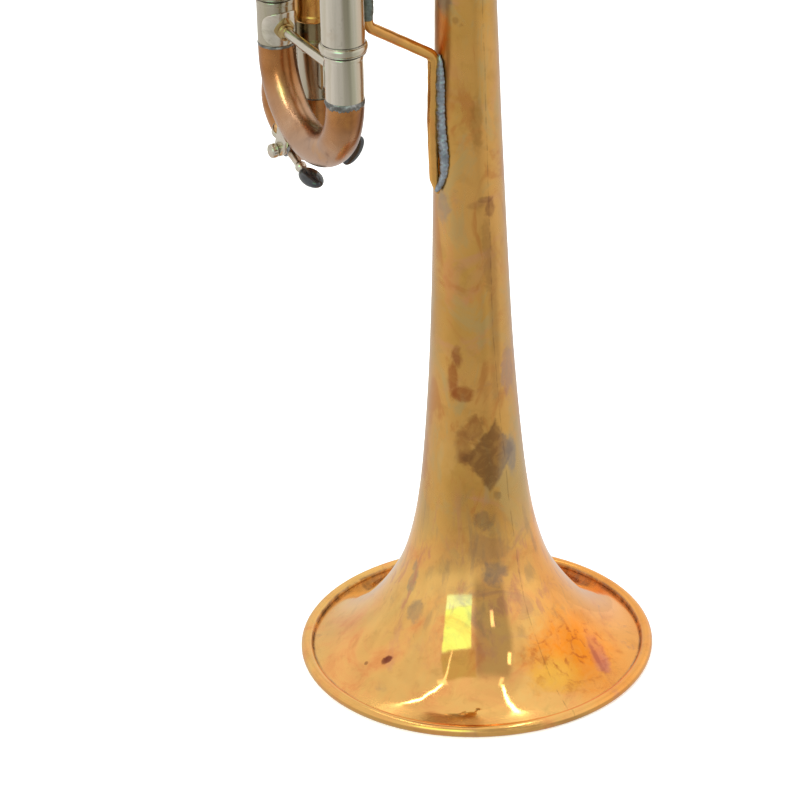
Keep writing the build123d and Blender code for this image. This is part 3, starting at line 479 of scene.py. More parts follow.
class Surface(Graph):
    """A material's graph."""

    def __init__(self, name):
        self.material = bpy.data.materials.new(name)
        self.material.use_nodes = True
        super().__init__(self.material.node_tree, "Object")
        self.result = self.tree.nodes.new("ShaderNodeOutputMaterial").inputs[0]
        self.shader = self.add("BsdfPrincipled")
        self.put(self.shader, self.result)

    def finish(self, **inputs):
        for name, value in inputs.items():
            self.put(value, self.shader.socket.node.inputs[name.replace("_", " ")])
        return self.material


def layers(g, colour, table, shift, strength=1.0):
    """Lays patches of noise over a colour, one for each row of a table."""
    for scale, detail, rough, warp, offset, start, end, amount, levels in table:
        patches = g.noise(scale, detail, rough, warp, shift=shift + offset)
        colour = g.mix(patches.ease(start, end), colour, levels, amount * strength)
    return colour


def scratches(g, scale, stretch, shift):
    """Fine rubbing marks along one direction and broader ones across it."""
    fine = g.noise(scale, detail=3, rough=0.6, warp=0.3, stretch=stretch, shift=shift)
    broad = g.noise(scale * 0.35, detail=4, rough=0.65, warp=0.8, stretch=stretch[::-1],
                    shift=shift + 3)
    return fine * 0.6 + broad * 0.4


# ------------------------------------------------------------------ raw brass
# columns: noise scale, detail, roughness, warp, shift, mask start, mask end, amount, colour
BRASS_TARNISH = [
    (34, 5, 0.60, 1.2, 21, 0.56, 0.70, 0.50, (214, 150, 126)),  # rose
    (58, 6, 0.62, 1.0, 33, 0.60, 0.72, 0.42, (150, 118, 112)),  # violet
    (42, 6, 0.60, 0.8, 47, 0.60, 0.74, 0.38, (142, 134, 104)),  # grey-green
    (88, 7, 0.70, 1.4, 61, 0.66, 0.74, 0.50, (140, 88, 52)),  # brown
]


def brass_base(g, shift):
    """Patches, small mottling and the clouded ground colour."""
    cloud = g.noise(scale=20, detail=4, rough=0.55, warp=0.6, shift=shift)
    patch = g.noise(scale=46, detail=6, rough=0.62, warp=0.9, shift=shift + 5)
    small = g.noise(scale=150, detail=6, rough=0.65, warp=0.5, shift=shift + 9)
    colour = g.ramp(cloud, {0.30: (202, 150, 74), 0.46: (213, 163, 84), 0.60: (222, 168, 92),
                            0.74: (214, 150, 84)})
    return patch, small, colour


def brass_tarnish(g, colour, patch, small, strength, shift):
    orange = patch.ease(start=0.56, end=0.72)
    colour = g.mix(orange, colour, (226, 142, 76), amount=0.55 * strength)
    colour = layers(g, colour, BRASS_TARNISH, shift, strength)
    return g.mix(small.ease(start=0.50, end=0.70), colour, (150, 104, 50), amount=0.16)


def brass_relief(g, shift, waves, marks):
    """Normal of slow waves and fine marks, each with its strength."""
    fine = g.noise(scale=900, detail=4, rough=0.6, shift=shift + 2)
    height = scratches(g, scale=700, stretch=(1, 1, 0.04), shift=shift) * 0.35 + fine * 0.3
    wave = g.noise(scale=70, detail=2, rough=0.4, shift=shift + 80)
    normal = g.bump(wave, strength=waves, distance=0.0012)
    return g.bump(height, strength=marks, distance=0.00022, under=normal)


def brass(name, tarnish, shift):
    g = Surface(name)
    patch, small, colour = brass_base(g, shift)
    colour = brass_tarnish(g, colour, patch, small, tarnish, shift)
    specks = g.noise(scale=420, detail=2, rough=0.5, warp=0.2, shift=shift + 71)
    colour = g.mix(specks.ease(start=0.72, end=0.78), colour, (96, 62, 40), 0.45 * tarnish)
    rough = patch * 0.16 + small * 0.14 + 0.08
    normal = brass_relief(g, shift, waves=0.22, marks=0.10)
    return g.finish(Base_Color=colour, Metallic=1.0, Roughness=rough, Normal=normal)


# ------------------------------------------------------------------ the bell's brass
# columns: centre (mm), radii (mm), colour, amount, raggedness
BELL_SPOTS = [
    ((-10.6, -9.2, 120.6), (1.8, 2.0, 4.0), (152, 84, 44), 0.75, 0.45),
    ((-12.0, -8.3, 113.0), (1.9, 2.0, 6.5), (166, 92, 44), 0.75, 0.45),
    ((-9.9, -11.1, 107.6), (4.0, 3.6, 2.6), (160, 86, 42), 0.80, 0.50),
    ((-3.0, -11.6, 176.8), (3.6, 3.6, 1.6), (150, 100, 58), 0.40, 0.70),
    ((1.3, -11.9, 174.8), (1.7, 3.0, 3.4), (138, 88, 56), 0.62, 0.55),
    ((-0.4, -11.8, 178.2), (2.6, 2.6, 1.2), (140, 94, 58), 0.55, 0.55),
    ((-11.7, -3.2, 174.7), (2.6, 2.8, 6.5), (158, 142, 134), 0.50, 0.65),
    ((-7.0, -14.0, 95.0), (3.0, 3.0, 5.0), (150, 98, 54), 0.60, 0.60),
    ((-10.6, -12.7, 88.5), (2.8, 2.8, 6.5), (152, 102, 58), 0.55, 0.65),
    ((-10.0, -13.2, 83.6), (2.6, 2.8, 3.0), (146, 94, 54), 0.60, 0.65),
    ((6.4, -15.6, 82.0), (2.4, 4.0, 7.0), (146, 136, 128), 0.70, 0.50),
    ((-6.6, -18.2, 61.3), (3.4, 3.4, 3.0), (122, 102, 84), 0.50, 0.7),
    ((-6.0, -20.5, 51.0), (6.4, 5.0, 5.5), (176, 128, 90), 0.45, 0.7),
    ((-4.7, -22.8, 42.2), (4.2, 3.5, 3.6), (134, 122, 112), 0.60, 0.6),
    ((-25.5, -1.7, 35.7), (2.2, 2.0, 11.0), (138, 134, 124), 0.50, 0.7),
    ((-28.6, -8.7, 27.0), (2.0, 2.4, 7.0), (140, 132, 118), 0.42, 0.8),
    ((-1.0, -18.1, 69.5), (1.5, 2.5, 1.9), (112, 74, 48), 0.40, 0.9),
    ((-40.6, -10.6, 11.9), (2.3, 1.3, 1.1), (112, 44, 42), 0.85, 0.8),
    ((-41.6, -9.9, 12.0), (1.0, 1.0, 2.2), (120, 56, 44), 0.70, 0.7),
    ((-45.8, -4.1, 8.8), (0.8, 0.8, 0.8), (110, 60, 40), 0.75, 0.3),
    ((26.4, -41.5, 6.5), (4.2, 5.5, 2.6), (178, 124, 138), 0.75, 0.6),
    ((9.9, -47.3, 7.1), (8.0, 5.0, 3.0), (236, 190, 92), 0.60, 0.6),
    ((-10.3, -1.2, 237.0), (2.8, 4.4, 9.0), (226, 132, 52), 0.80, 0.45),
    ((-9.8, -2.9, 249.0), (3.0, 3.2, 5.5), (128, 118, 108), 0.60, 0.5),
    ((-7.7, -6.8, 242.2), (1.1, 1.1, 1.4), (140, 84, 44), 0.35, 0.7),
    ((-2.4, -10.6, 205.0), (2.0, 2.4, 9.0), (158, 112, 56), 0.45, 0.6),
    ((-0.4, -12.2, 158.0), (1.6, 1.6, 16.0), (150, 106, 60), 0.45, 0.6),
    ((-12.4, -6.6, 150.0), (2.4, 2.6, 14.0), (222, 150, 96), 0.45, 0.6),
    ((6.6, -12.9, 112.9), (3.2, 3.4, 8.5), (168, 132, 128), 0.55, 0.6),
    ((-16.0, -9.0, 84.0), (4.0, 4.0, 7.0), (226, 178, 104), 0.50, 0.5),
]


class Blots:
    """Soft-edged ragged blots that share two noise fields."""

    def __init__(self, g):
        self.g = g
        coarse = g.noise(scale=120, detail=4, rough=0.6, warp=1.2, shift=1.1)
        fine = g.noise(scale=420, detail=4, rough=0.6, warp=0.8, shift=2.3)
        self.ragged = (coarse - 0.5) * 3.0 + (fine - 0.5) * 1.1
        mottle = g.noise(scale=260, detail=5, rough=0.6, warp=0.8, shift=4.7)
        self.mottle = mottle.ease(start=0.34, end=0.60, low=0.72, high=1.0)

    def mask(self, centre, radii, wobble, soft=0.36):
        """Centre and radii in millimetres."""
        g = self.g
        place = g.vector("SUBTRACT", g.position, tuple(x * MM for x in centre))
        place = g.vector("MULTIPLY", place, tuple(1000.0 / x for x in radii))
        distance = g.vector("LENGTH", place) + self.ragged * wobble
        return distance.ease(start=1.0 + soft, end=1.0 - soft) * self.mottle


def bell_glow(g, colour, patch, x, z):
    """Brighter gold low on the flare, orange toward +X."""
    gold = g.ramp(patch, {0.30: (244, 198, 118), 0.50: (250, 192, 112), 0.68: (252, 176, 108)})
    colour = g.mix(z.ease(start=0.075, end=0.030), colour, gold, amount=0.85)
    side = x.ease(start=0.004, end=0.022) * z.ease(start=0.075, end=0.045)
    return g.mix(side, colour, (255, 172, 84), amount=0.75)


def bell_stem(g, colour, z):
    """Pale and brown patches above the flare."""
    patches = g.noise(scale=70, detail=5, rough=0.62, warp=0.9, stretch=(1, 1, 0.5), shift=71)
    stem = z.ease(start=0.035, end=0.070)
    pale = patches.ease(start=0.50, end=0.64) * stem
    colour = g.mix(pale, colour, (196, 170, 112), amount=0.60)
    brown = patches.ease(start=0.47, end=0.35) * stem
    return g.mix(brown, colour, (196, 124, 62), amount=0.55)


def bell_heat(g, colour, small, blots):
    """Orange-gold heat colours with a red-brown network of cracks, low toward +X."""
    heat = blots.mask(centre=(17, -37.5, 12), radii=(17, 15, 11), wobble=0.34, soft=0.62)
    gold = blots.mask(centre=(6.6, -43.8, 10.0), radii=(8.5, 5.5, 5.0), wobble=0.35, soft=0.6)
    violet = blots.mask(centre=(27, -38, 8), radii=(3.2, 12, 6), wobble=0.55, soft=0.5)
    red = blots.mask(centre=(25.6, -40.3, 7.4), radii=(1.0, 9.0, 6.0), wobble=0.55, soft=0.6)
    jitter = g.noise(scale=300, detail=4, rough=0.6, out="Color")
    warped = g.vector("MULTIPLY_ADD", jitter, (0.006, 0.006, 0.006), g.position)
    cells = g.add("TexVoronoi", {"Scale": 190, "Vector": warped}, "Distance",
                  feature="DISTANCE_TO_EDGE")
    vein = cells.ease(start=0.20, end=0.00) * small.ease(start=0.44, end=0.62)
    colour = g.mix(heat, colour, (255, 150, 36), amount=0.92)
    colour = g.mix(gold, colour, (255, 198, 84), amount=0.8)
    colour = g.mix(violet, colour, (206, 124, 112), amount=0.45)
    colour = g.mix(vein * heat, colour, (176, 78, 44), amount=0.66)
    return g.mix(red, colour, (168, 84, 72), amount=0.55)


def bell_runs(g, colour, z):
    """Vertical runs of colour on the flare."""
    runs = g.noise(scale=170, detail=5, rough=0.6, warp=0.4, stretch=(1, 1, 0.14), shift=90)
    zone = z.ease(start=0.012, end=0.028) * z.ease(start=0.085, end=0.050)
    rose = runs.ease(start=0.54, end=0.66) * zone
    colour = g.mix(rose, colour, (206, 140, 108), amount=0.55)
    green = runs.ease(start=0.46, end=0.30) * zone
    return g.mix(green, colour, (146, 128, 104), amount=0.34)


def front_side(y):
    return y.ease(start=-0.006, end=-0.010)


def bell_diamond(g, colour, blots, x, y, z):
    """Large brown diamond on the front, its half width and half height in millimetres."""
    half_width, half_height, lean = 9.2, 13.2, 0.132
    across = g.math("MULTIPLY_ADD", x, 1000.0, 1.7)
    above = g.math("MULTIPLY_ADD", z, 1000.0, -84.0)
    across = across - above * lean
    across.socket.node.label = "across"
    distance = abs(across) * (1 / half_width) + abs(above) * (1 / half_height)
    distance = distance + blots.ragged * 0.16
    mask = distance.ease(start=1.10, end=0.90) * (front_side(y) * blots.mottle)
    brown = g.mix(across.ease(start=1.0, end=6.0), (138, 96, 56), (142, 124, 108))
    return g.mix(mask, colour, brown, amount=0.86)


def bell_band(g, colour, x, y, z):
    """Soft upright band above the diamond."""
    band = abs(x - 0.0016).ease(start=0.0030, end=0.0006)
    band = band * (z.ease(start=0.096, end=0.110) * z.ease(start=0.176, end=0.160))
    broken = g.noise(scale=110, detail=4, rough=0.6, warp=0.5, stretch=(1, 1, 0.3))
    broken = broken.ease(start=0.32, end=0.58, low=0.35, high=1.0)
    return g.mix(band * front_side(y) * broken, colour, (146, 104, 62), amount=0.42)


def bell_seam(g, colour, small, x, y, z):
    """Thin dark seam running down the front."""
    middle = z.ease(start=0.145, end=0.040, low=0.0014, high=0.0050)
    middle = middle + g.noise(scale=50, detail=2, rough=0.5) * -0.0012
    seam = abs(x - middle).ease(start=0.00035, end=0.0001)
    seam = seam * (front_side(y) * small.ease(start=0.40, end=0.60))
    return g.mix(seam, colour, (110, 78, 52), amount=0.30)


def bell_brass(name):
    g = Surface(name)
    x, y, z = g.split(g.position)
    patch, small, colour = brass_base(g, shift=0.0)
    colour = bell_glow(g, colour, patch, x, z)
    colour = brass_tarnish(g, colour, patch, small, strength=0.75, shift=0.0)
    colour = bell_stem(g, colour, z)
    blots = Blots(g)
    dull = None
    for centre, radii, levels, amount, wobble in BELL_SPOTS:
        mask = blots.mask(centre, radii, wobble) * amount
        colour = g.mix(mask, colour, levels)
        dull = mask if dull is None else g.math("MAXIMUM", dull, mask)
    colour = bell_heat(g, colour, small, blots)
    colour = bell_runs(g, colour, z)
    colour = bell_diamond(g, colour, blots, x, y, z)
    colour = bell_band(g, colour, x, y, z)
    colour = bell_seam(g, colour, small, x, y, z)
    # painted sheen: greyer colour where the metal turns away from the camera
    grazing_sheen = g.facing() ** 2.4 * z.ease(start=0.045, end=0.090)
    colour = g.mix(grazing_sheen, colour, (180, 160, 142), amount=0.75)
    # shinier toward the flare, dull again at the very rim
    rough = patch * 0.16 + small * 0.14
    rough = rough * z.ease(start=0.020, end=0.070, low=0.38, high=1.0)
    rough = rough + z.ease(start=0.020, end=0.085, low=0.00, high=0.16)
    rough = rough + z.ease(start=0.0050, end=0.0030, low=0.0, high=0.13)
    rough = g.math("MAXIMUM", rough + -0.01, 0.02) + dull * 0.10
    normal = brass_relief(g, shift=0.0, waves=0.12, marks=0.05)
    # dirt with painted shade where the rolled rim meets the flare
    radius = g.vector("LENGTH", g.vector("MULTIPLY", g.position, (1, 1, 0)))
    crease_dirt_shade = radius.ease(start=0.0564, end=0.0573) * radius.ease(start=0.0582, end=0.0576)
    broken = g.noise(scale=160, detail=5, rough=0.65, warp=0.8)
    crease_dirt_shade = crease_dirt_shade * broken.ease(start=0.34, end=0.62, low=0.20, high=0.75)
    dirt_and_shade = g.mix(small.ease(start=0.4, end=0.6), (150, 128, 116), (120, 92, 74))
    colour = g.mix(crease_dirt_shade, colour, dirt_and_shade)
    rough = rough + crease_dirt_shade * 0.35
    return g.finish(Base_Color=colour, Metallic=1.0, Roughness=rough, Normal=normal)


# ------------------------------------------------------------------ rose brass
# columns as in BRASS_TARNISH
COPPER_TARNISH = [
    (75, 6, 0.65, 1.2, 15, 0.58, 0.72, 0.55, (128, 84, 62)),  # dark
    (52, 4, 0.60, 0.8, 28, 0.58, 0.72, 0.50, (206, 148, 78)),  # gold
]


def crook_tones(g, colour, shift):
    """Paler colour low on the crook; painted shade darkens its right flank and its edges toward
    violet.
    """
    _, y, z = g.split(g.position)
    paler_low = g.noise(scale=70, detail=4, rough=0.6, warp=0.7, shift=shift + 8)
    paler_low = z.ease(start=0.216, end=0.198) * paler_low.ease(start=0.25, end=0.65, low=0.5, high=1.0)
    colour = g.mix(paler_low, colour, (214, 184, 158), amount=0.56)
    # painted shade: the right flank darker
    flank_shade = g.across().ease(start=0.45, end=0.85) * y.ease(start=0.012, end=0.004)
    colour = g.mix(flank_shade, colour, (126, 88, 70), amount=0.75)
    # painted shade: the edges darker where the surface turns away from the camera
    return g.mix(g.facing() ** 2.5, colour, (150, 118, 100), amount=0.6)


def copper(name, shift=0.0, main_crook=False):
    g = Surface(name)
    cloud = g.noise(scale=40, detail=5, rough=0.6, warp=0.8, shift=shift)
    small = g.noise(scale=190, detail=6, rough=0.65, warp=0.6, shift=shift + 4)
    colour = g.ramp(cloud, {0.30: (146, 94, 52), 0.48: (176, 120, 70), 0.62: (190, 134, 82),
                            0.76: (156, 98, 56)})
    if main_crook:
        colour = crook_tones(g, colour, shift)
    colour = layers(g, colour, COPPER_TARNISH, shift)
    colour = g.mix(small.ease(start=0.52, end=0.72), colour, (120, 74, 50), amount=0.22)
    rough = cloud * 0.16 + small * 0.12 + 0.13
    height = scratches(g, scale=800, stretch=(1, 0.3, 0.3), shift=shift)
    # the broad marks keep the long scale on x
    height = height + small * 0.4
    wave = g.noise(scale=90, detail=2, rough=0.4, shift=shift + 6)
    normal = g.bump(wave, strength=0.25, distance=0.001)
    normal = g.bump(height, strength=0.10, distance=0.00022, under=normal)
    return g.finish(Base_Color=colour, Metallic=1.0, Roughness=rough, Normal=normal)


# ------------------------------------------------------------------ nickel silver
# joints darkened by grime and painted shade; columns: on the far leg, height (mm), half width
# (mm)
SEAMS = [(False, 237.1, 0.55), (False, 240.75, 0.30), (False, 220.5, 0.35), (True, 239.1, 0.6),
         (True, 242.75, 0.35), (True, 222.6, 0.6), (True, 217.0, 0.5), (True, 198.6, 0.5)]


def slide_painted_light_and_grime(g, colour, rough):
    """Painted reflections across the slide tubes, the far leg darker, and grime with painted
    shade gathered in their joints.
    """
    _, y, z = g.split(g.position)
    across = g.across()
    # painted reflection: a dark olive band a little right of each tube's middle, fainter low
    # down
    strip = across.ease(start=-0.14, end=0.10) * across.ease(start=0.42, end=0.22)
    strip = strip * z.ease(start=0.215, end=0.262, low=0.45, high=1.0)
    colour = g.mix(strip, colour, (120, 112, 86), amount=0.62)
    # painted highlight: paler along each tube's left edge
    left = across.ease(start=-0.55, end=-0.85)
    colour = g.mix(left, colour, (226, 212, 200), amount=0.35)
    # painted reflection: warmer along each tube's right edge
    right = across.ease(start=0.55, end=0.80)
    colour = g.mix(right, colour, (206, 176, 142), amount=0.45)
    # the far leg darker
    colour = g.mix(y.ease(start=0.024, end=0.025), colour, (146, 138, 108), amount=0.50)
    far = y.ease(start=0.024, end=0.025)
    # grime and painted shade gathered in the joints
    dirt_and_shade = None
    for on_far_leg, height, half in SEAMS:
        mask = abs(z - height * MM).ease(start=half * 0.001, end=half * 0.0004)
        mask = mask * (far if on_far_leg else 1.0 - far)
        dirt_and_shade = mask if dirt_and_shade is None else g.math("MAXIMUM", dirt_and_shade, mask)
    broken = g.noise(scale=340, detail=5, rough=0.65, warp=0.6)
    dirt_and_shade = dirt_and_shade * broken.ease(start=0.30, end=0.56, low=0.45, high=0.95)
    return g.mix(dirt_and_shade, colour, (62, 54, 44)), rough + dirt_and_shade * 0.3


def nickel(name, shift=0.0, along=(1, 1, 0.03), warm=0.5, with_sheen_and_grime=False):
    """Streaks run along the axis that along makes small."""
    g = Surface(name)
    streak = g.noise(scale=150, detail=5, rough=0.6, warp=0.2, stretch=along, shift=shift)
    tone = g.noise(scale=90, detail=4, rough=0.6, warp=0.4, stretch=along, shift=shift + 7)
    cloud = g.noise(scale=60, detail=5, rough=0.6, warp=0.8, shift=shift + 3)
    small = g.noise(scale=420, detail=5, rough=0.65, shift=shift + 11)
    colour = g.ramp(streak, {0.25: (176, 170, 150), 0.45: (206, 200, 184),
                             0.62: (218, 210, 196), 0.80: (188, 180, 158)})
    colour = g.mix(tone.ease(start=0.52, end=0.68), colour, (172, 172, 138), amount=0.55)
    colour = g.mix(tone.ease(start=0.46, end=0.32), colour, (216, 186, 168), amount=0.50)
    colour = g.mix(cloud.ease(start=0.56, end=0.72), colour, (178, 152, 112), 0.45 * warm)
    colour = g.mix(small.ease(start=0.60, end=0.78), colour, (122, 112, 94), amount=0.30)
    rough = streak * 0.14 + small * 0.12 + 0.08
    # painted reflections across the tubes, and grime with painted shade in their joints
    if with_sheen_and_grime:
        colour, rough = slide_painted_light_and_grime(g, colour, rough)
    lines = g.noise(scale=1100, detail=3, rough=0.6, stretch=along, shift=shift)
    height = lines + small * 0.3
    wave = g.noise(scale=110, detail=2, rough=0.4, shift=shift + 6)
    normal = g.bump(wave, strength=0.16, distance=0.0008)
    normal = g.bump(height, strength=0.10, distance=0.0002, under=normal)
    return g.finish(Base_Color=colour, Metallic=1.0, Roughness=rough, Normal=normal)


# ------------------------------------------------------------------ other materials
def solder(name, tones, top=None):
    """Lumpy grey metal; top is its colour high up."""
    g = Surface(name)
    lumps = g.noise(scale=260, detail=5, rough=0.7, warp=0.5)
    grain = g.noise(scale=900, detail=4, rough=0.7, warp=0.2)
    colour = g.ramp(lumps, dict(zip((0.30, 0.50, 0.66, 0.80), tones)))
    if top:
        high = g.split(g.position)[2].ease(start=0.236, end=0.246)
        darker = tuple(int(c * 0.78) for c in top)
        top_colour = g.mix(grain.ease(start=0.35, end=0.65), top, darker)
        colour = g.mix(high, colour, top_colour, amount=0.9)
    normal = g.bump(lumps + grain * 0.5, strength=0.55, distance=0.0006)
    return g.finish(Base_Color=colour, Metallic=1.0, Roughness=lumps * 0.25 + 0.22,
                    Normal=normal)


def plain_metal(name, tone, second, rough=0.2, stretch=(1, 1, 0.1), scale=400.0):
    g = Surface(name)
    lines = g.noise(scale=scale, detail=4, rough=0.6, warp=0.1, stretch=stretch)
    cloud = g.noise(scale=60, detail=5, rough=0.6, warp=0.6)
    colour = g.mix(cloud.ease(start=0.3, end=0.7), tone, second)
    colour = g.mix(lines, colour, tuple(int(c * 0.6) for c in tone), amount=0.25)
    return g.finish(Base_Color=colour, Metallic=1.0,
                    Roughness=lines * 0.10 + cloud * 0.10 + (rough - 0.08),
                    Normal=g.bump(lines, strength=0.10, distance=0.0002))


def black_touch(name):
    g = Surface(name)
    cloud = g.noise(scale=240, detail=5, rough=0.6, warp=0.4)
    grain = g.noise(scale=1500, detail=3, rough=0.6)
    colour = g.ramp(cloud, {0.35: (16, 18, 22), 0.6: (28, 31, 37), 0.8: (50, 52, 56)})
    return g.finish(Coat_Weight=0.5, Coat_Roughness=0.06, Specular_IOR_Level=0.6,
                    Base_Color=colour, Roughness=cloud * 0.22 + 0.05,
                    Normal=g.bump(grain, strength=0.06, distance=0.0002))


def pearl(name):
    g = Surface(name)
    swirl = g.noise(scale=160, detail=4, rough=0.6, warp=2.2)
    spots = g.noise(scale=500, detail=4, rough=0.6, warp=1.0)
    colour = g.ramp(swirl, {0.30: (206, 214, 216), 0.45: (238, 232, 222),
                            0.58: (228, 210, 214), 0.72: (214, 226, 212)})
    colour = g.mix(spots.ease(start=0.5, end=0.7), colour, (190, 186, 178), amount=0.35)
    return g.finish(Coat_Weight=0.7, Coat_Roughness=0.05, Subsurface_Weight=0.12,
                    Subsurface_Scale=0.001, Base_Color=colour, Roughness=swirl * 0.25 + 0.12,
                    Normal=g.bump(swirl, strength=0.12, distance=0.0003))


def felt(name):
    g = Surface(name)
    fibres = g.noise(scale=2200, detail=5, rough=0.75, warp=0.6)
    cloud = g.noise(scale=300, detail=4, rough=0.6)
    colour = g.mix(cloud, (206, 200, 186), (176, 168, 152))
    colour = g.mix(fibres, colour, (140, 132, 118), amount=0.4)
    return g.finish(Sheen_Weight=0.5, Base_Color=colour, Roughness=0.95,
                    Normal=g.bump(fibres, strength=0.8, distance=0.0005))


def cork(name):
    g = Surface(name)
    grain = g.noise(scale=900, detail=6, rough=0.75, warp=0.6)
    cells = g.add("TexVoronoi", {"Scale": 1400, "Vector": g.position}, "Distance")
    colour = g.ramp(grain, {0.35: (120, 82, 48), 0.5: (178, 132, 84), 0.68: (206, 164, 112)})
    return g.finish(Base_Color=colour, Roughness=0.88,
                    Normal=g.bump(cells, strength=0.6, distance=0.0004))


BRASS_BELL = bell_brass("raw_brass_bell")
BRASS = brass("raw_brass_body", tarnish=1.0, shift=13.0)
BRASS_ROD = brass("raw_brass_rod", tarnish=0.55, shift=29.0)
COPPER = copper("rose_brass_crook", main_crook=True)
COPPER_SMALL = copper("rose_brass_slides", shift=17.0)
NICKEL = nickel("nickel_silver_tubes", with_sheen_and_grime=True)
NICKEL_X = nickel("nickel_silver_cross", shift=9.0, along=(0.03, 1, 1))
NICKEL_Y = nickel("nickel_silver_brace", shift=19.0, along=(1, 0.05, 1), warm=0.9)
SOLDER = solder("grey_solder",
                tones=((76, 74, 70), (126, 126, 122), (190, 192, 190), (98, 92, 82)))
BRASS_WORN = plain_metal("brass_showing_through", (186, 164, 118), (176, 150, 98))
SOLDER_AGED = solder("aged_solder", top=(118, 128, 116),
                     tones=((116, 122, 128), (148, 156, 164), (182, 190, 198), (126, 126, 122)))
# darker olive for the third slide's sleeves: partly their own metal, partly painted shade behind
# the main slide
BRONZE_AND_SHADE = plain_metal("bronze_tube_with_painted_shade", (150, 134, 100), (118, 104, 76), rough=0.22,
                     stretch=(1, 1, 0.05), scale=300.0)
MONEL = plain_metal("honed_monel", (176, 174, 168), (198, 196, 190), rough=0.24,
                    stretch=(1, 0.05, 1))
STEEL = plain_metal("drawn_wire", (150, 150, 152), (176, 176, 178), rough=0.22)
SILVER = plain_metal("polished_silver_plate", (232, 229, 222), (244, 241, 234), rough=0.12,
                     stretch=(1, 1, 0.4))
BLACK = black_touch("glossy_black_touch")
PEARL = pearl("mother_of_pearl")
FELT = felt("pressed_felt")
CORK = cork("natural_cork")


# ================================================================== bell
def bell_outline():
    """Outer skin down to the rim, the rolled bead, and the inner skin back up."""
    outer = spline([(r, z) for z, r in BELL_PROFILE], 300, 1.5)
    t = tangents(outer)
    inner = np.stack([outer[:, 0] - WALL * t[:, 1], outer[:, 1] + WALL * t[:, 0]], -1)
    inner[-1] = (outer[-1][0] - WALL, BOW_Z)
    crease = [(57.70, 1.75), (57.55, 1.62), (57.42, 1.80), (57.36, 2.25)]
    bead = arc((RIM_R, BEAD_Z, 0), BEAD_R, 168, -82, ((1, 0, 0), (0, 1, 0)), 44)[:, :2]
    bead[:, 1] = np.maximum(bead[:, 1], 0.0)
    under = [(RIM_R - 0.6, 0.02), (58.3, 0.42), (57.9, 1.1)]
    return np.concatenate([outer[::-1], crease, bead, under, inner[2:]])


def bell_dents(r, z, angle):
    """Waves in the flare and fainter ones up the stem."""
    wave = np.sin(4 * angle + z * 0.16) * np.sin(z * 0.21 + 0.7)
    wave = wave + 0.7 * np.sin(7 * angle - z * 0.1 + 1.1)
    wave = wave + 0.6 * np.sin(3 * angle + 2.0) * np.sin(z * 0.33)
    flare = 0.035 * np.clip((90 - z) / 90, 0, 1) * np.clip((z - 3.0) / 8.0, 0, 1)
    faint = np.sin(2 * angle + z * 0.05) * np.sin(z * 0.08)
    faint = faint + np.sin(5 * angle + z * 0.03) * np.sin(z * 0.13 + 1.0)
    return r + flare * wave + 0.02 * np.clip((z - 60) / 60, 0, 1) * faint


part = Part()
part.lathe(bell_outline(), segs=320, mod=bell_dents)
part.build("bell_shell", BRASS_BELL, "horn", "bell", sharp=60)

part = Part()
wire = arc((RIM_R, BEAD_Z, 0), RIM_WIRE_R, 0, 360, ((1, 0, 0), (0, 1, 0)), 25)[:-1, :2]
part.lathe(wire, segs=200)
part.build("rim_wire", STEEL, "horn", "bell_rim_wire")

# bow: half circle in the tilted plane from the bell to its tail
bow_r = math.hypot(X_TAIL, Y_FAR) / 2
bow_dir = np.array([X_TAIL, Y_FAR, 0.0]) / (2 * bow_r)
top = arc((X_TAIL / 2, Y_FAR / 2, BOW_Z + 0.5), bow_r, 180, 0, (bow_dir, (0, 0, 1)), 90)
bow = join(line((0, 0, BOW_Z), (0, 0, BOW_Z + 0.5), 2), top,
           line(top[-1], (X_TAIL, Y_FAR, 376), 20))
f = travelled(bow)
f /= f[-1]
stations = [0, 0.25, 0.5, 0.72, 1]
part = Part()
part.tube(bow, np.interp(f, stations, [8.22, 7.8, 7.3, 6.9, 6.55]),
          np.interp(f, stations, [7.62, 7.2, 6.75, 6.35, 5.95]), 96, mod=dents(0.025))
part.build("bell_bow_tube", BRASS, "horn", "bell_bow")

# columns: radius, height
JOINT_RING = [(8.25, BOW_Z - 4), (8.75, BOW_Z - 3.6), (9.0, BOW_Z - 2.2), (8.75, BOW_Z - 0.8),
              (8.7, BOW_Z + 3.5), (8.3, BOW_Z + 4.0)]
part = Part()
part.lathe(soften(JOINT_RING, 0.4), segs=96)
part.build("bell_joint_ring", NICKEL, "horn")

part = Part()
neck = bent([(X_TAIL, Y_FAR, 384), (X_TAIL, Y_FAR, 369), (X_VALVE + 2, Y_FAR, 358),
             (X_VALVE + 2, Y_FAR, 353.5)], 8)
part.tube(neck, 7.3, BORE + 0.8, 72)
NECK_RING = [(7.2, 378.6), (7.9, 379), (8.3, 380), (7.9, 381), (7.2, 381.4)]
part.lathe(soften(NECK_RING, 0.3), (X_TAIL, Y_FAR), segs=96)
part.build("bell_tail_neck", NICKEL, "horn", "bell_tail_ferrule")

# ================================================================== leadpipe side
# columns of the outlines: radius, height
LEADPIPE = [(5.6, 296), (6.05, 296), (6.15, 380), (6.0, 440), (6.0, 458), (4.7, 458),
            (4.6, 440), (5.0, 380)]
part = Part()
part.lathe(subdivide(soften(LEADPIPE, 0.15), 6), (X_LEAD, 0), segs=96, mod=dents(0.02))
part.build("leadpipe_tube", BRASS, "horn", "leadpipe")

SOCKET = [(6.05, 434), (6.9, 434), (7.1, 435), (7.1, 442), (7.9, 443), (8.1, 444.5),
          (7.9, 446), (7.3, 447), (7.3, 470), (7.9, 471), (8.4, 472.5), (8.4, 480),
          (7.9, 482), (5.6, 482), (5.0, 459), (6.05, 459)]
part = Part()
part.lathe(soften(SOCKET, 0.35), (X_LEAD, 0), segs=112)
part.build("mouthpiece_socket", BRASS, "horn", "mouthpiece_receiver")


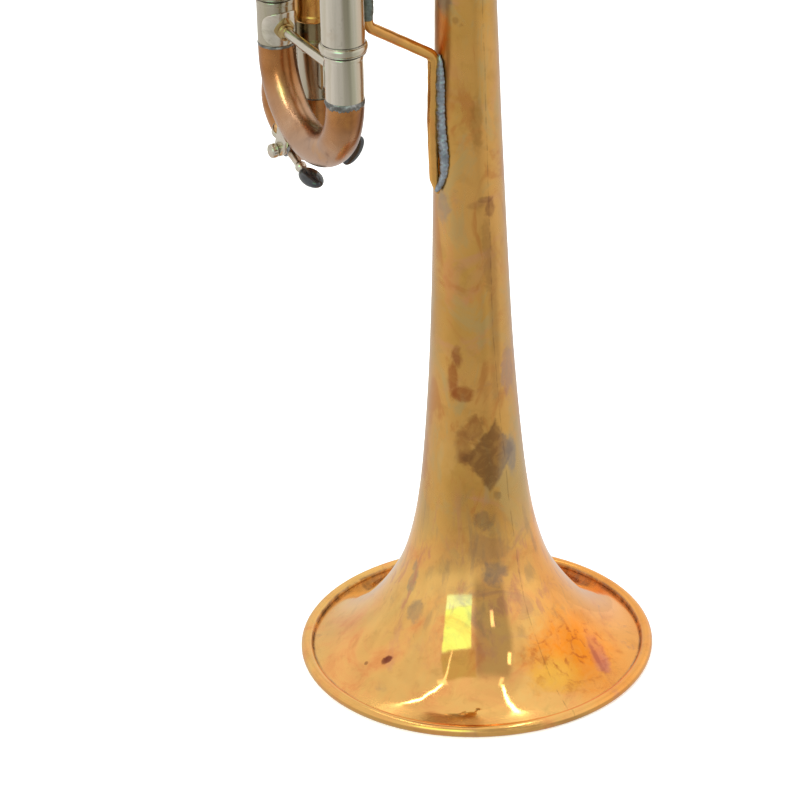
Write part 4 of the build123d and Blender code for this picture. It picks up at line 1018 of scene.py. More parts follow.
def sleeve_outline(radius, lip, top, bead_r, bead_h=2.6):
    """Slide sleeve with a flared lip and a round bead above it."""
    points = [(SLEEVE_IN, lip), (radius + 0.25, lip), (radius + 0.45, lip + 0.3),
              (radius + 0.35, lip + 0.75)]
    zc = lip + 0.75 + bead_h / 2
    for a in np.radians(np.linspace(-90, 90, 15)):
        points.append((radius + 0.2 + (bead_r - radius - 0.2) * math.cos(a),
                       zc + bead_h / 2 * math.sin(a)))
    points += [(radius, zc + bead_h / 2 + 0.25), (radius, top), (SLEEVE_IN, top)]
    return soften(points, 0.12, 2)


SLEEVE_TOP = [(6.1, 300), (7.5, 300), (7.9, 301), (7.9, 303), (7.3, 304), (6.9, 309), (6.1, 310)]
part = Part()
part.lathe(sleeve_outline(SLEEVE_R, Z_LIP, 300, 8.0), (X_LEAD, 0), segs=128)
part.lathe(soften(SLEEVE_TOP, 0.4), (X_LEAD, 0), segs=112)
part.lathe(sleeve_outline(SLEEVE_R, Z_LIP + FAR_UP, 276, 8.0), (X_LEAD, Y_FAR), segs=128)
part.build("slide_sleeves", NICKEL, "horn", "main_slide_outer_tubes")

# S-shaped brace from the front tube to the bell, and the straight one above it
rod = bent([(-36.0, 0, 281), (-36.0, 0, 243.8), (-12.3, 0, 228.2), (-13.1, 0, 205),
            (-12.75, 0, 184), (-11.6, 0, 179.2)], 4.0, 0.5)
f = travelled(rod)
f /= f[-1]
rod_r = np.interp(f, [0, 0.3, 0.36, 0.6, 0.66, 0.85, 0.96, 1],
                  [1.78, 1.78, 1.95, 1.95, 1.8, 1.95, 1.8, 1.1])
# columns: radius, x
STRAIGHT_BRACE = [(0, X_LEAD + 6.4), (4.5, X_LEAD + 6.6), (4.2, -37.6), (2.0, -36.8),
                  (1.6, -33), (2.4, -29), (1.6, -25), (2.0, -14), (4.2, -13), (4.6, -8.2),
                  (0, -8.0)]
part = Part()
part.tube(rod, rod_r, segs=36, mod=dents(0.035, stretch=2.5), end=0.9)
part.lathe(soften(STRAIGHT_BRACE, 0.5), (0, 396), "x", 56)
part.build("bell_braces", BRASS_ROD, "horn", "leadpipe_braces", merge=True)


def ribbon(shape, path, width, height, seed):
    """Low rounded bead lying on the bell; half width and height go with the path."""
    tangent = tangents(path)
    up = path * [1, 1, 0]
    up /= np.linalg.norm(up, axis=1)[:, None]
    up = up - tangent * np.sum(up * tangent, axis=1)[:, None]
    up /= np.linalg.norm(up, axis=1)[:, None]
    side = np.cross(tangent, up)
    q = travelled(path)[:, None]
    th = np.linspace(0, 2 * PI, 40, endpoint=False)[None, :]
    c, s = np.cos(th), np.sin(th)
    w = width[:, None] * (1 + 0.05 * np.sin(q * 1.9 + seed + th)
                          + 0.04 * np.sin(q * 4.3 + 2 * th + seed)
                          + 0.03 * np.sin(q * 8.7 - 3 * th))
    h = height[:, None] * (1 + 0.10 * np.sin(q * 1.3 + seed) + 0.06 * np.sin(q * 3.7 + th * 2))
    lift = np.where(s > 0, h, 0.35) * np.sign(s) * np.abs(s) ** 0.85
    shape.grid(path[:, None, :] + (w * c)[..., None] * side[:, None, :]
               + lift[..., None] * up[:, None, :])


def lumpy(r, along, angle):
    return r * (1 + 0.03 * np.sin(2 * angle + along * 0.9)
                + 0.025 * np.sin(5 * angle - along * 1.7)
                + 0.02 * np.sin(3 * angle + along * 3.1))


# solder run that holds the brace's foot to the bell, ending in a small hook
SOLDER_RUN = [(-10.9, -0.9, 228.6), (-10.95, -1.8, 222.2), (-10.97, -2.0, 213.2),
              (-11.1, -2.3, 207.4), (-11.1, -2.8, 200.4), (-11.0, -3.5, 195.7),
              (-11.0, -3.9, 190.4), (-11.3, -3.6, 186.4), (-11.9, -2.7, 183.4),
              (-12.7, -1.8, 181.2), (-13.1, -1.4, 180.0)]
part = Part()
f = np.linspace(0, 1, 190)
ribbon(part, spline(SOLDER_RUN, 190),
       np.interp(f, [0, 0.05, 0.15, 0.4, 0.6, 0.75, 0.88, 0.96, 1],
                 [1.0, 1.9, 2.2, 1.95, 2.05, 1.8, 1.25, 1.2, 0.6]),
       np.interp(f, [0, 0.06, 0.2, 0.7, 0.9, 1], [0.4, 1.2, 1.6, 1.6, 1.2, 0.4]), seed=0.4)
# grey sleeve of solder over the brace where it runs along the front tube
f = np.linspace(0, 1, 60)
part.tube(line((-36.15, -0.25, 279), (-36.15, -0.25, 246.6), 60),
          np.interp(f, [0, 0.5, 0.9, 1], [2.05, 2.15, 2.05, 1.85]), segs=36, mod=lumpy, end=0.7)
part.build("brace_solder", SOLDER_AGED, "horn", sharp=80)

# finger hook on an oval foot
hook = bent([(X_LEAD, -8.4, 330), (X_LEAD, -10.5, 296), (X_LEAD, -13, 284),
             (X_LEAD, -27, 279), (X_LEAD, -30, 297), (X_LEAD, -23, 304)], 5.0, 0.6)
f = np.linspace(0, 1, len(hook))
a = np.linspace(0, 2 * PI, 56, endpoint=False)
part = Part()
part.tube(hook, np.interp(f, [0, 0.1, 0.9, 1], [1.2, 1.75, 1.6, 1.5]), segs=32, end=1.5)
part.plate(np.stack([2.6 * np.cos(a), 14.6 * np.sin(a)], -1), (X_LEAD, -6.6, 316),
           (1, 0, 0), (0, 0, 1), 2.3, 0.6)
part.build("little_finger_hook", BRASS_ROD, "horn", "finger_hook")

# ================================================================== valves
# columns: radius, y; stem, button, pearl and felt are for a valve at rest
CASING = [
    (8.45, Y_TOP), (9.6, Y_TOP), (9.6, Y_TOP + 5), (10.9, Y_TOP + 5.2), (11.1, Y_TOP + 7),
    (10.9, Y_TOP + 12), (10.5, Y_TOP + 13), (10.5, Y_TOP + 14.2), (10, Y_TOP + 15),
    (10, Y_BOT - 15), (10.5, Y_BOT - 14.2), (10.5, Y_BOT - 13), (10.9, Y_BOT - 12),
    (11.1, Y_BOT - 7), (10.9, Y_BOT - 5.2), (9.6, Y_BOT - 5), (9.6, Y_BOT), (8.45, Y_BOT)]
TOP_CAP = [
    (3.2, Y_TOP - 3.2), (8.0, Y_TOP - 3.2), (9.6, Y_TOP - 2.4), (10.4, Y_TOP - 1.2),
    (11.4, Y_TOP - 0.9), (11.6, Y_TOP - 0.4), (11.6, Y_TOP + 4.2), (11.3, Y_TOP + 4.8),
    (9.66, Y_TOP + 4.8), (9.66, Y_TOP - 0.6), (7.4, Y_TOP - 0.6), (7.0, Y_TOP - 1.6),
    (3.2, Y_TOP - 1.6)]
BOTTOM_CAP = [
    (1.6, Y_BOT + 3.4), (3.0, Y_BOT + 3.4), (3.4, Y_BOT + 2.6), (8.6, Y_BOT + 2.0),
    (10.4, Y_BOT + 1.2), (11.4, Y_BOT + 0.8), (11.6, Y_BOT + 0.2), (11.6, Y_BOT - 4.2),
    (11.3, Y_BOT - 4.8), (9.66, Y_BOT - 4.8), (9.66, Y_BOT + 0.15), (2.6, Y_BOT + 1.1),
    (1.6, Y_BOT + 1.6)]
STEM = [(0, -8.0), (7.6, -8.0), (7.6, -9.6), (4.2, -10.4), (3.4, -11.4), (2.75, -12.0),
        (2.75, -49.9), (2.0, -50.1), (2.0, -54.1), (0, -54.1)]
BUTTON = [(2.05, -50.2), (3.6, -50.2), (3.6, -51.2), (6.0, -52.0), (7.9, -53.2), (8.2, -54.4),
          (8.0, -55.6), (7.2, -56.2), (6.65, -56.2), (6.65, -54.8), (2.05, -54.8)]
PEARL_DISC = [(0, -54.85), (6.6, -54.85), (6.6, -55.9), (5.6, -56.5), (3.6, -56.9), (0, -57.0)]
FELT_RING = [(2.85, -47.0), (6.2, -47.0), (6.4, -47.4), (6.4, -49.8), (6.2, -50.15),
             (2.85, -50.15)]
SPRING_R, SPRING_WIRE_R, SPRING_PITCH, SPRING_LENGTH, SPRING_TOP = 6.2, 0.38, 2.9, 21.0, -7.0


def fuzz(r, along, angle):
    wave = 0.08 * np.sin(17 * angle + along * 5) + 0.05 * np.sin(31 * angle - along * 9)
    return np.where(r > 4, r + wave, r)


def knurl(low, high, outside=11.5, count=60, depth=0.16):
    """Grooves round a cap between two places on its axis."""
    def mod(r, along, angle):
        edge = np.clip(np.minimum(along - low, high - along) / 0.5, 0, 1)
        groove = depth * edge * (0.5 + 0.5 * np.cos(count * angle))
        return np.where(r > outside, r - groove, r)
    return mod


for i, zc in Z_VALVE.items():
    # name, outline, segments, mod, material, body, CAD node, merge
    for name, outline, segs, mod, material, body, node, merge in (
            ("casing", subdivide(soften(CASING, 0.3), 8), 120, None, BRASS, "horn",
             "valve_casing", False),
            ("stem", soften(STEM, 0.3), 64, None, BRASS_ROD, f"valve_{i}",
             "valve_stem", True),
            ("button", soften(BUTTON, 0.35), 96, None, BRASS_ROD, f"valve_{i}",
             "finger_button", False),
            ("pearl", soften(PEARL_DISC, 0.4, 4), 72, None, PEARL, f"valve_{i}",
             "button_pearl", True),
            ("felt", subdivide(soften(FELT_RING, 0.3), 0.5), 96, fuzz, FELT, f"valve_{i}",
             "button_felt", False)):
        part = Part()
        part.lathe(outline, (X_VALVE, zc), "y", segs, mod)
        part.build(f"{name}_{i}", material, body, f"{node}_{i}", merge=merge)

# the spring in each piston: one coil from the stem's flange down to the valve guide
for i, zc in Z_VALVE.items():
    a = np.linspace(0, 2 * PI * SPRING_LENGTH / SPRING_PITCH, 330)
    coil = np.stack([X_VALVE + SPRING_R * np.cos(a), SPRING_TOP + SPRING_PITCH * a / (2 * PI),
                     zc + SPRING_R * np.sin(a)], -1)
    part = Part()
    part.tube(coil, SPRING_WIRE_R, segs=12, end=0.3)
    spring = part.build(f"spring_{i}", STEEL, "horn", f"valve_spring_{i}")
    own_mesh(spring)

for name, node, outline, low, high in (
        ("caps_top", "top_caps", TOP_CAP, Y_TOP - 0.3, Y_TOP + 4.2),
        ("caps_bottom", "bottom_caps", BOTTOM_CAP, Y_BOT - 4.2, Y_BOT + 0.2)):
    part = Part()
    for zc in Z_VALVE.values():
        part.lathe(subdivide(soften(outline, 0.3), 1.0), (X_VALVE, zc), "y", 360,
                   knurl(low, high))
    part.build(name, BRASS_ROD, "horn", node)

# tubes and thin waisted ties between neighbouring casings
part = Part()
for valve, y in ((3, 30.0), (2, 62.0)):
    z0 = Z_VALVE[valve]
    part.tube(line((X_VALVE, y, z0 + 8), (X_VALVE, y, z0 + VALVE_PITCH - 8), 6), 6.9, 6.2, 64)
for y in (4.0, 78.0):
    for valve in (3, 2):
        z0 = Z_VALVE[valve]
        part.tube(line((X_VALVE, y, z0 + 9.6), (X_VALVE, y, z0 + VALVE_PITCH - 9.6), 9),
                  [2.9, 2.6, 2.3, 2.2, 2.2, 2.2, 2.3, 2.6, 2.9], segs=32)
part.clear_bores()
part.build("valve_ties", BRASS, "horn", "intervalve_tubes")

# ================================================================== fixed slide tubes
MAIN_KNUCKLE_R, KNUCKLE_R = 7.0, 6.7
part = Part()
part.tube(bent([(X_LEAD, Y_FAR, 275), (X_LEAD, Y_FAR, 292), (X_LEAD + 12.5, Y_FAR, 292)],
               15, 0.7), MAIN_KNUCKLE_R, BORE, 64)
for y, x_in, y_in, z_in in ((Y3_NEAR, X_VALVE + 0.5, Y3_NEAR, 272), (Y3_FAR, X_VALVE, 72, 275)):
    part.tube(bent([(X_THIRD, y, 255.5), (X_THIRD, y, 261.5), (x_in, y_in, z_in),
                    (x_in, y_in, 285.5)], 8, 0.7), KNUCKLE_R, BORE, 64)
for y in (Y1_NEAR, Y1_FAR):
    part.tube(bent([(X_FIRST, y, 371.5), (X_FIRST, y, 367), (X_VALVE - 3, y, 359.5),
                    (X_VALVE - 3, y, 352.5)], 6, 0.7), KNUCKLE_R, BORE, 64)
part.clear_bores()
part.build("knuckles", BRASS, "horn", "slide_knuckles")

part = Part()
for x, y, z, r, up in ((X_LEAD, Y_FAR, 275.5, MAIN_KNUCKLE_R, 1),
                       (X_THIRD, Y3_NEAR, 255.6, KNUCKLE_R, 1),
                       (X_THIRD, Y3_FAR, 255.6, KNUCKLE_R, 1),
                       (X_FIRST, Y1_NEAR, 371.2, KNUCKLE_R, -1),
                       (X_FIRST, Y1_FAR, 371.2, KNUCKLE_R, -1)):
    ring = [(r + 0.05, z), (r + 0.55, z + 0.3 * up), (r + 0.75, z + 1.2 * up),
            (r + 0.55, z + 2.1 * up), (r + 0.02, z + 2.4 * up)]
    part.lathe(soften(ring, 0.25), (x, y), segs=96)
part.build("knuckle_rings", BRASS_ROD, "horn")


def lathe_pair(name, outline, x, ys, segs, material, body, *stands_for):
    """The same upright outline at two places along Y."""
    pair = Part()
    for y in ys:
        pair.lathe(outline, (x, y), segs=segs)
    pair.build(name, material, body, *stands_for)


def short_sleeve(lip, root, inward):
    """Sleeve with a beaded lip; inward is the way from the lip to the root."""
    points = [(SLEEVE_IN, lip), (6.9, lip), (7.2, lip + 0.8 * inward), (7.5, lip + 2 * inward),
              (7.2, lip + 3.2 * inward), (SMALL_SLEEVE_R, lip + 3.6 * inward),
              (SMALL_SLEEVE_R, root), (SLEEVE_IN, root)]
    return soften(points if inward > 0 else points[::-1], 0.3)


lathe_pair("third_sleeves", sleeve_outline(SMALL_SLEEVE_R, Z3_LIP, 256, 7.45, 2.2), X_THIRD,
           (Y3_NEAR, Y3_FAR), 112, BRONZE_AND_SHADE, "horn", "third_slide_outer_tubes")
COLLAR = [(6.9, 226.6), (7.5, 226.6), (7.95, 227.2), (7.95, 228.6), (7.6, 229.4), (7.45, 231),
          (7.45, 240), (6.9, 241)]
lathe_pair("third_collars", soften(COLLAR, 0.3), X_THIRD, (Y3_NEAR, Y3_FAR), 112, BRASS_ROD,
           "horn")
lathe_pair("first_sleeves", short_sleeve(Z1_LIP, 371, -1), X_FIRST, (Y1_NEAR, Y1_FAR), 96,
           NICKEL, "horn", "first_slide_outer_tubes")
part = Part()
for y in (Y2_NEAR, Y2_FAR):
    part.lathe(short_sleeve(X2_LIP, -32.2, 1), (y, Z_VALVE[2]), "x", 96)
part.build("second_sleeves", NICKEL_X, "horn", "second_slide_outer_tubes")

# ================================================================== main tuning slide
part = Part()
for y, low, high in ((0, Z_FERRULE, 290), (Y_FAR, Z_FERRULE + FAR_UP, 274)):
    part.lathe([(BORE, low), (INNER_R, low), (INNER_R, high), (BORE, high)], (X_LEAD, y),
               segs=96)
part.build("slide_legs", NICKEL, "main_slide", "main_slide_inner_tubes")

# columns: radius, height
FERRULE = [(INNER_R + 0.01, Z_FERRULE), (6.36, Z_FERRULE), (6.42, Z_FERRULE + 0.5),
           (6.36, Z_FERRULE + 1.0), (6.36, Z_LIP - 2.2), (6.5, Z_LIP - 1.9),
           (6.5, Z_LIP - 0.9), (6.3, Z_LIP - 0.5), (INNER_R + 0.01, Z_LIP - 0.5)]


def ferrule_dents(r, along, angle):
    return np.where(r > 6.2, dents(0.008)(r, along, angle), r)


part = Part()
for y, dz in ((0, 0.0), (Y_FAR, FAR_UP)):
    outline = soften([(r, z + dz) for r, z in FERRULE], 0.12, 2)
    part.lathe(subdivide(outline, 2.5), (X_LEAD, y), segs=128, mod=ferrule_dents)
part.build("slide_ferrules", NICKEL, "main_slide", "main_slide_ferrules")

# crook, with a short tube on it for the water key's cork
CROOK_BEND = Y_FAR / 2
KEY_OUT = np.array([0.0, 0.4895, -0.872])
KEY_TURN = np.array([0.0, 0.872, 0.4895])
PIVOT = np.array([X_LEAD, CROOK_BEND, CROOK_Z]) + 38.4 * KEY_OUT
CUP = PIVOT + 6.6 * KEY_TURN
YZ_PLANE = ((0, 1, 0), (0, 0, 1))
crook = join(line((X_LEAD, 0, Z_FERRULE), (X_LEAD, 0, CROOK_Z), 3),
             arc((X_LEAD, CROOK_BEND, CROOK_Z), CROOK_BEND, 180, 360, YZ_PLANE, 120),
             line((X_LEAD, Y_FAR, CROOK_Z), (X_LEAD, Y_FAR, Z_FERRULE + FAR_UP), 5))
part = Part()
part.tube(crook, CROOK_R, BORE, 112, mod=dents(0.03))
part.tube(line(CUP - 9.6 * KEY_OUT, CUP - 4.65 * KEY_OUT, 6),
          [2.5, 2.35, 2.3, 2.3, 2.35, 2.3], 1.5, 40)
part.build("slide_crook", COPPER, "main_slide", "main_slide_crook")


def crook_solder(name, y, top, seed, depth, swell):
    """Untidy collar of solder where a ferrule meets the crook."""
    h = np.linspace(0, 2 * PI, 220, endpoint=False)
    edge = (0.5 + 0.5 * np.sin(5 * h + seed) * np.sin(3 * h + 1.2 + seed)
            + 0.35 * np.sin(13 * h + 0.5) + 0.25 * np.sin(29 * h + seed)
            + 0.15 * np.sin(47 * h))
    edge = depth * (0.72 + 0.28 * np.clip(edge, -0.8, 1.2))

    def ring(radius, z):
        return np.stack([X_LEAD + radius * np.cos(h), y + radius * np.sin(h), z], -1)

    rows = []
    for j in range(11):
        f = j / 10
        z = top + 0.55 - f * (edge + 0.55)
        belly = swell * max(0.0, math.sin(PI * min(1.0, f * 1.02))) ** 0.7
        bumps = (0.07 * np.sin(23 * h + 9 * f + seed) * np.sin(11 * h - 14 * f)
                 + 0.05 * np.sin(41 * h + 17 * f)) * min(1.0, depth / 2)
        r = 6.36 + belly * (1 + 0.5 * np.sin(7 * h + 3 * f)) + bumps * math.sin(PI * f)
        rows.append(ring(r, z))
    rows += [ring(6.25, rows[-1][:, 2]), ring(6.25, rows[0][:, 2])]
    collar = Part()
    collar.grid(np.array(rows), loop=True)
    collar.build(name, SOLDER, "main_slide", sharp=80)


crook_solder("crook_solder_near", 0.0, Z_FERRULE, seed=0.0, depth=2.15, swell=0.26)
crook_solder("crook_solder_far", Y_FAR, Z_FERRULE + FAR_UP, seed=4.0, depth=0.45, swell=0.12)

# brace between the ferrules: a saddle round each, a small diamond and boss on it, and the rod
# columns: leg's y, direction to the other leg, height
BRACE_FEET = ((0.0, 1, Z_BRACE), (Y_FAR, -1, Z_BRACE + 0.6))


def saddle(shape, foot, half_arc, half_height, power, rings):
    """Thin plate wrapped round a ferrule; rings are (share of the outline, radius)."""
    y, side, zc = foot
    a = np.linspace(0, 2 * PI, 120, endpoint=False)
    u = half_arc * np.sign(np.cos(a)) * np.abs(np.cos(a)) ** power
    v = half_height * np.sign(np.sin(a)) * np.abs(np.sin(a)) ** power
    rows = []
    for share, radius in rings:
        angle = u * share / 6.8
        rows.append(np.stack([X_LEAD + radius * np.sin(angle), y + side * radius * np.cos(angle),
                              zc + v * share], -1))
    shape.grid(np.array(rows))


SADDLE_RINGS = ((1.0, 6.30), (1.0, 6.62), (0.985, 6.74), (0.95, 6.80), (0.8, 6.82),
                (0.65, 6.82), (0.5, 6.82), (0.35, 6.82), (0.2, 6.82), (0.06, 6.82))
DIAMOND_RINGS = ((1.0, 6.75), (1.0, 7.02), (0.94, 7.14), (0.7, 7.18), (0.45, 7.18),
                 (0.2, 7.18), (0.06, 7.18))
# columns: radius, distance from the leg's axis
BOSS = [(0, 6.9), (2.9, 6.9), (2.8, 7.5), (2.35, 8.0), (2.2, 8.7), (1.8, 9.3), (0, 9.3)]
part = Part()
for foot in BRACE_FEET:
    saddle(part, foot, 8.6, 5.9, 0.78, SADDLE_RINGS)
part.tube(line((X_LEAD, 7.6, Z_BRACE), (X_LEAD, Y_FAR - 7.6, Z_BRACE), 28), 1.72, segs=36,
          mod=dents(0.02, stretch=2))
part.build("slide_brace", NICKEL_Y, "main_slide", "main_slide_brace", sharp=40)
part = Part()
for foot in BRACE_FEET:
    saddle(part, foot, 3.9, 4.2, 1.5, DIAMOND_RINGS)
    boss = [(r, foot[0] + foot[1] * out) for r, out in BOSS]
    part.lathe(soften(boss, 0.3), (X_LEAD, Z_BRACE), "y", 48)
part.build("brace_bosses", BRASS_WORN, "main_slide", sharp=40)

# ================================================================== main water key
a = np.linspace(-PI / 2, PI / 2, 20)
lug = np.concatenate([np.stack([2.4 * np.cos(a), 2.4 * np.sin(a)], -1),
                      [(-6.5, 2.9), (-8.6, 3.6), (-8.6, -3.6), (-6.5, -2.9)]])
part = Part()
for x in (-4.4, 2.4):
    part.plate(lug, PIVOT + np.array([x, 0, 0]), KEY_OUT, KEY_TURN, 2.0, 0.35)
part.build("key_lugs", NICKEL_Y, "main_slide", "main_key_saddle")

# columns: radius, x
x_head = X_LEAD - 2.2
SCREW = [(0, x_head - 5.0), (1.5, x_head - 5.0), (2.3, x_head - 4.6), (2.5, x_head - 4.0),
         (2.5, x_head - 2.8), (2.2, x_head - 2.25), (1.0, x_head - 2.2), (1.0, X_LEAD + 5.6),
         (0.7, X_LEAD + 5.9), (0, X_LEAD + 5.9)]
BARREL = [(1.05, X_LEAD - 2.1), (2.2, X_LEAD - 2.1), (2.35, X_LEAD - 1.6), (2.05, X_LEAD - 1.2),
          (2.05, X_LEAD + 1.2), (2.35, X_LEAD + 1.6), (2.2, X_LEAD + 2.1), (1.05, X_LEAD + 2.1)]
part = Part()
part.lathe(soften(SCREW, 0.3), PIVOT[1:], "x", 48)
part.build("key_screw", NICKEL_X, "main_slide", "main_key_screw", merge=True)


def lathe_at_cup(shape, outline):
    """Revolves (radius, place along KEY_OUT) about the cork cup's axis."""
    h = np.linspace(0, 2 * PI, 56, endpoint=False)[None, :, None]
    around = np.cos(h) * np.array([1.0, 0, 0]) + np.sin(h) * KEY_TURN
    shape.grid(CUP + outline[:, 0][:, None, None] * around
               + outline[:, 1][:, None, None] * KEY_OUT, loop=True)


TOUCH_Y, TOUCH_Z = 26.9, 181.4
CUP_OUTLINE = [(0.0, 0.95), (2.2, 0.95), (3.05, 0.4), (3.15, -0.4), (3.15, -1.95),
               (2.75, -1.95), (2.7, -0.75), (0.0, -0.75)]
CORK_OUTLINE = [(0.0, -0.8), (2.55, -0.8), (2.62, -3.9), (2.3, -4.5), (0.0, -4.5)]
part = Part()
part.lathe(soften(BARREL, 0.3), PIVOT[1:], "x", 56)
lever = spline([(X_LEAD, PIVOT[1] - 1, PIVOT[2] - 0.4), (X_LEAD, 38, 183.4),
                (X_LEAD, 33, 181.9), (X_LEAD, TOUCH_Y + 1, TOUCH_Z)], 44)
lever_r = np.interp(np.linspace(0, 1, 44), [0, 0.25, 0.48, 0.54, 0.60, 0.66, 1.0],
                    [1.9, 1.45, 1.35, 2.0, 2.0, 1.4, 1.3])
part.tube(lever, lever_r, segs=28, end=0.8)
part.tube(line(PIVOT + 1.2 * KEY_TURN, CUP + 0.2 * KEY_TURN - 0.2 * KEY_OUT, 10),
          np.linspace(1.6, 1.2, 10), segs=24)
lathe_at_cup(part, soften(CUP_OUTLINE, 0.3))
part.build("key_lever", NICKEL_Y, "main_key", "main_key_lever", merge=True)
part = Part()
lathe_at_cup(part, soften(CORK_OUTLINE, 0.35))
part.build("key_cork", CORK, "main_key", "main_key_cork", merge=True)
part = Part()
part.pill((X_LEAD, TOUCH_Y, TOUCH_Z - 0.2), ((0, 1, 0.06), (1, 0, 0), (0, 0.06, -1)),
          (6.2, 3.6, 2.2), dish=0.16)
part.build("key_touch", BLACK, "main_key", "main_key_touch", merge=True, sharp=80)

# its spring: two coils round the barrel and one leg on the crook
COIL_R, COIL_WIRE_R = 2.75, 0.22
part = Part()
a = np.linspace(0, 2 * PI * 4, 150)
for x in (X_LEAD - 1.75, X_LEAD + 0.65):
    coil = np.stack([x + a / a[-1] * 1.1, PIVOT[1] + COIL_R * np.cos(a),
                     PIVOT[2] + COIL_R * np.sin(a)], -1)
    part.tube(coil, COIL_WIRE_R, segs=10, end=0.15)
leg = spline([(X_LEAD - 1.7, PIVOT[1] + COIL_R, PIVOT[2] + 0.2),
              (X_LEAD - 1.7, PIVOT[1] + 1.6, PIVOT[2] + 4.0),
              (X_LEAD - 1.7, PIVOT[1] - 1.0, PIVOT[2] + 7.2)], 20)
part.tube(leg, COIL_WIRE_R, segs=10, end=0.15)
part.build("key_spring", STEEL, "main_slide")

# ================================================================== third slide
# columns: radius, height
THIRD_LEG = [(BORE, Z3_FERRULE), (6.38, Z3_FERRULE), (6.5, Z3_FERRULE + 0.6),
             (6.36, Z3_FERRULE + 1.2), (6.36, Z3_LIP - 1.8), (6.6, Z3_LIP - 1.5),
             (6.6, Z3_LIP - 0.7), (6.3, Z3_LIP - 0.3), (INNER_R, Z3_LIP - 0.3),
             (INNER_R, 254.5), (BORE, 254.5)]
lathe_pair("third_legs", soften(THIRD_LEG, 0.12, 2), X_THIRD, (Y3_NEAR, Y3_FAR), 112, NICKEL,
           "third_slide", "third_slide_tubes")

third = join(line((X_THIRD, Y3_NEAR, Z3_FERRULE), (X_THIRD, Y3_NEAR, Z3_CROOK), 8),
             arc((X_THIRD, Y3_MID, Z3_CROOK), Y3_FAR - Y3_MID, 180, 360, YZ_PLANE, 90),
             line((X_THIRD, Y3_FAR, Z3_CROOK), (X_THIRD, Y3_FAR, Z3_FERRULE), 8))
# the far side of the bend bulges outward
bulge = (2.0 * np.exp(-(((third[:, 2] - 184) / 8) ** 2))
         * np.clip((Z3_FERRULE - third[:, 2]) / 6, 0, 1))
third[:, 1] += np.where(third[:, 1] > Y3_MID, bulge, 0)
KEY_3 = np.array([X_THIRD + 1.5, 43.2, 181.8])
a = np.linspace(PI, 2 * PI, 18)
lug = np.concatenate([np.stack([2.1 * np.cos(a), 2.1 * np.sin(a)], -1),
                      [(1.8, 8.4), (-1.8, 8.4)]])
part = Part()
part.tube(third, THICK_CROOK_R, BORE, 96, mod=dents(0.03, start=11))
for z in (-4.6, 2.8):
    part.plate(lug, KEY_3 + np.array([0, 0, z]), (1, 0, 0), (0, 1, 0), 1.8, 0.3)
part.build("third_crook", COPPER_SMALL, "third_slide", "third_slide_crook")

# upright rod between the legs and the cross bar that carries it
STOP_ROD = [(0, 202.5), (1.2, 202.5), (1.2, 215.6), (2.2, 215.9), (2.5, 216.5), (2.5, 218.7),
            (2.2, 219.2), (1.2, 219.5), (1.2, 251), (2.1, 251.2), (2.3, 252), (2.3, 254),
            (2.1, 254.8), (0, 254.8)]
# columns: radius, y
CROSS_BAR = [(0, Y3_NEAR + 6.0), (2.6, Y3_NEAR + 6.1), (1.5, Y3_NEAR + 8.2), (1.4, Y3_MID - 3),
             (2.4, Y3_MID - 1.4), (2.4, Y3_MID + 1.4), (1.4, Y3_MID + 3), (1.5, Y3_FAR - 8.2),
             (2.6, Y3_FAR - 6.1), (0, Y3_FAR - 6.0)]
part = Part()
part.lathe(soften(STOP_ROD, 0.25), (X_THIRD, Y3_MID), segs=40)
part.lathe(soften(CROSS_BAR, 0.4), (X_THIRD, 206), "y", 40)
part.build("stop_rod", NICKEL_Y, "third_slide", "third_slide_stop_rod", merge=True)

part = Part()
part.pill((-20.8, 43.2, 178.8), ((0.62, 0, 0.78), (0.78, 0, -0.62), (0, 1, 0)),
          (5.6, 3.0, 1.5))
part.build("third_touch", BLACK, "third_key", "third_key_touch", merge=True, sharp=80)


# ================================================================== first and second slides
def leg_outline(start, lip, end, out):
    """Slide tube thickened past the sleeve's lip; out is the way from start to end."""
    points = [(BORE, start), (INNER_R, start), (INNER_R, lip + 0.3 * out),
              (6.5, lip + 0.3 * out), (6.5, lip + 1.2 * out), (6.36, lip + 1.6 * out),
              (6.36, end), (BORE, end)]
    return soften(points, 0.12, 2)


lathe_pair("first_legs", leg_outline(372.5, Z1_LIP, Z1_CROOK, 1), X_FIRST, (Y1_NEAR, Y1_FAR),
           96, NICKEL, "first_slide", "first_slide_tubes")
part = Part()
part.tube(arc((X_FIRST, (Y1_NEAR + Y1_FAR) / 2, Z1_CROOK), (Y1_FAR - Y1_NEAR) / 2, 180, 0,
              YZ_PLANE, 80), CROOK_R, BORE, 88, mod=dents(0.03, start=5))
part.build("first_crook", COPPER_SMALL, "first_slide", "first_slide_crook")

part = Part()
for y in (Y2_NEAR, Y2_FAR):
    part.lathe(leg_outline(-38.5, X2_LIP, X2_CROOK, -1), (y, Z_VALVE[2]), "x", 96)
part.build("second_legs", NICKEL_X, "second_slide", "second_slide_tubes")

# crook with a turned knob on its outside
second_bend = (Y2_FAR - Y2_NEAR) / 2
x_knob = X2_CROOK - second_bend - 6.0
# columns: radius, distance out from the crook
KNOB = [(0, -0.8), (2.6, -0.6), (2.4, 0.6), (2.0, 1.4), (2.2, 2.6), (3.4, 3.6), (4.0, 5.0),
        (3.4, 6.2), (1.6, 6.8), (0, 6.8)]
part = Part()
part.tube(arc((X2_CROOK, Y2_MID, Z_VALVE[2]), second_bend, 90, 270, ((1, 0, 0), (0, 1, 0)), 80),
          CROOK_R, BORE, 88, mod=dents(0.03, start=8))
part.lathe(soften([(r, x_knob - out) for r, out in KNOB], 0.5), (Y2_MID, Z_VALVE[2]), "x", 56)
part.build("second_crook", COPPER_SMALL, "second_slide", "second_slide_crook", merge=True)

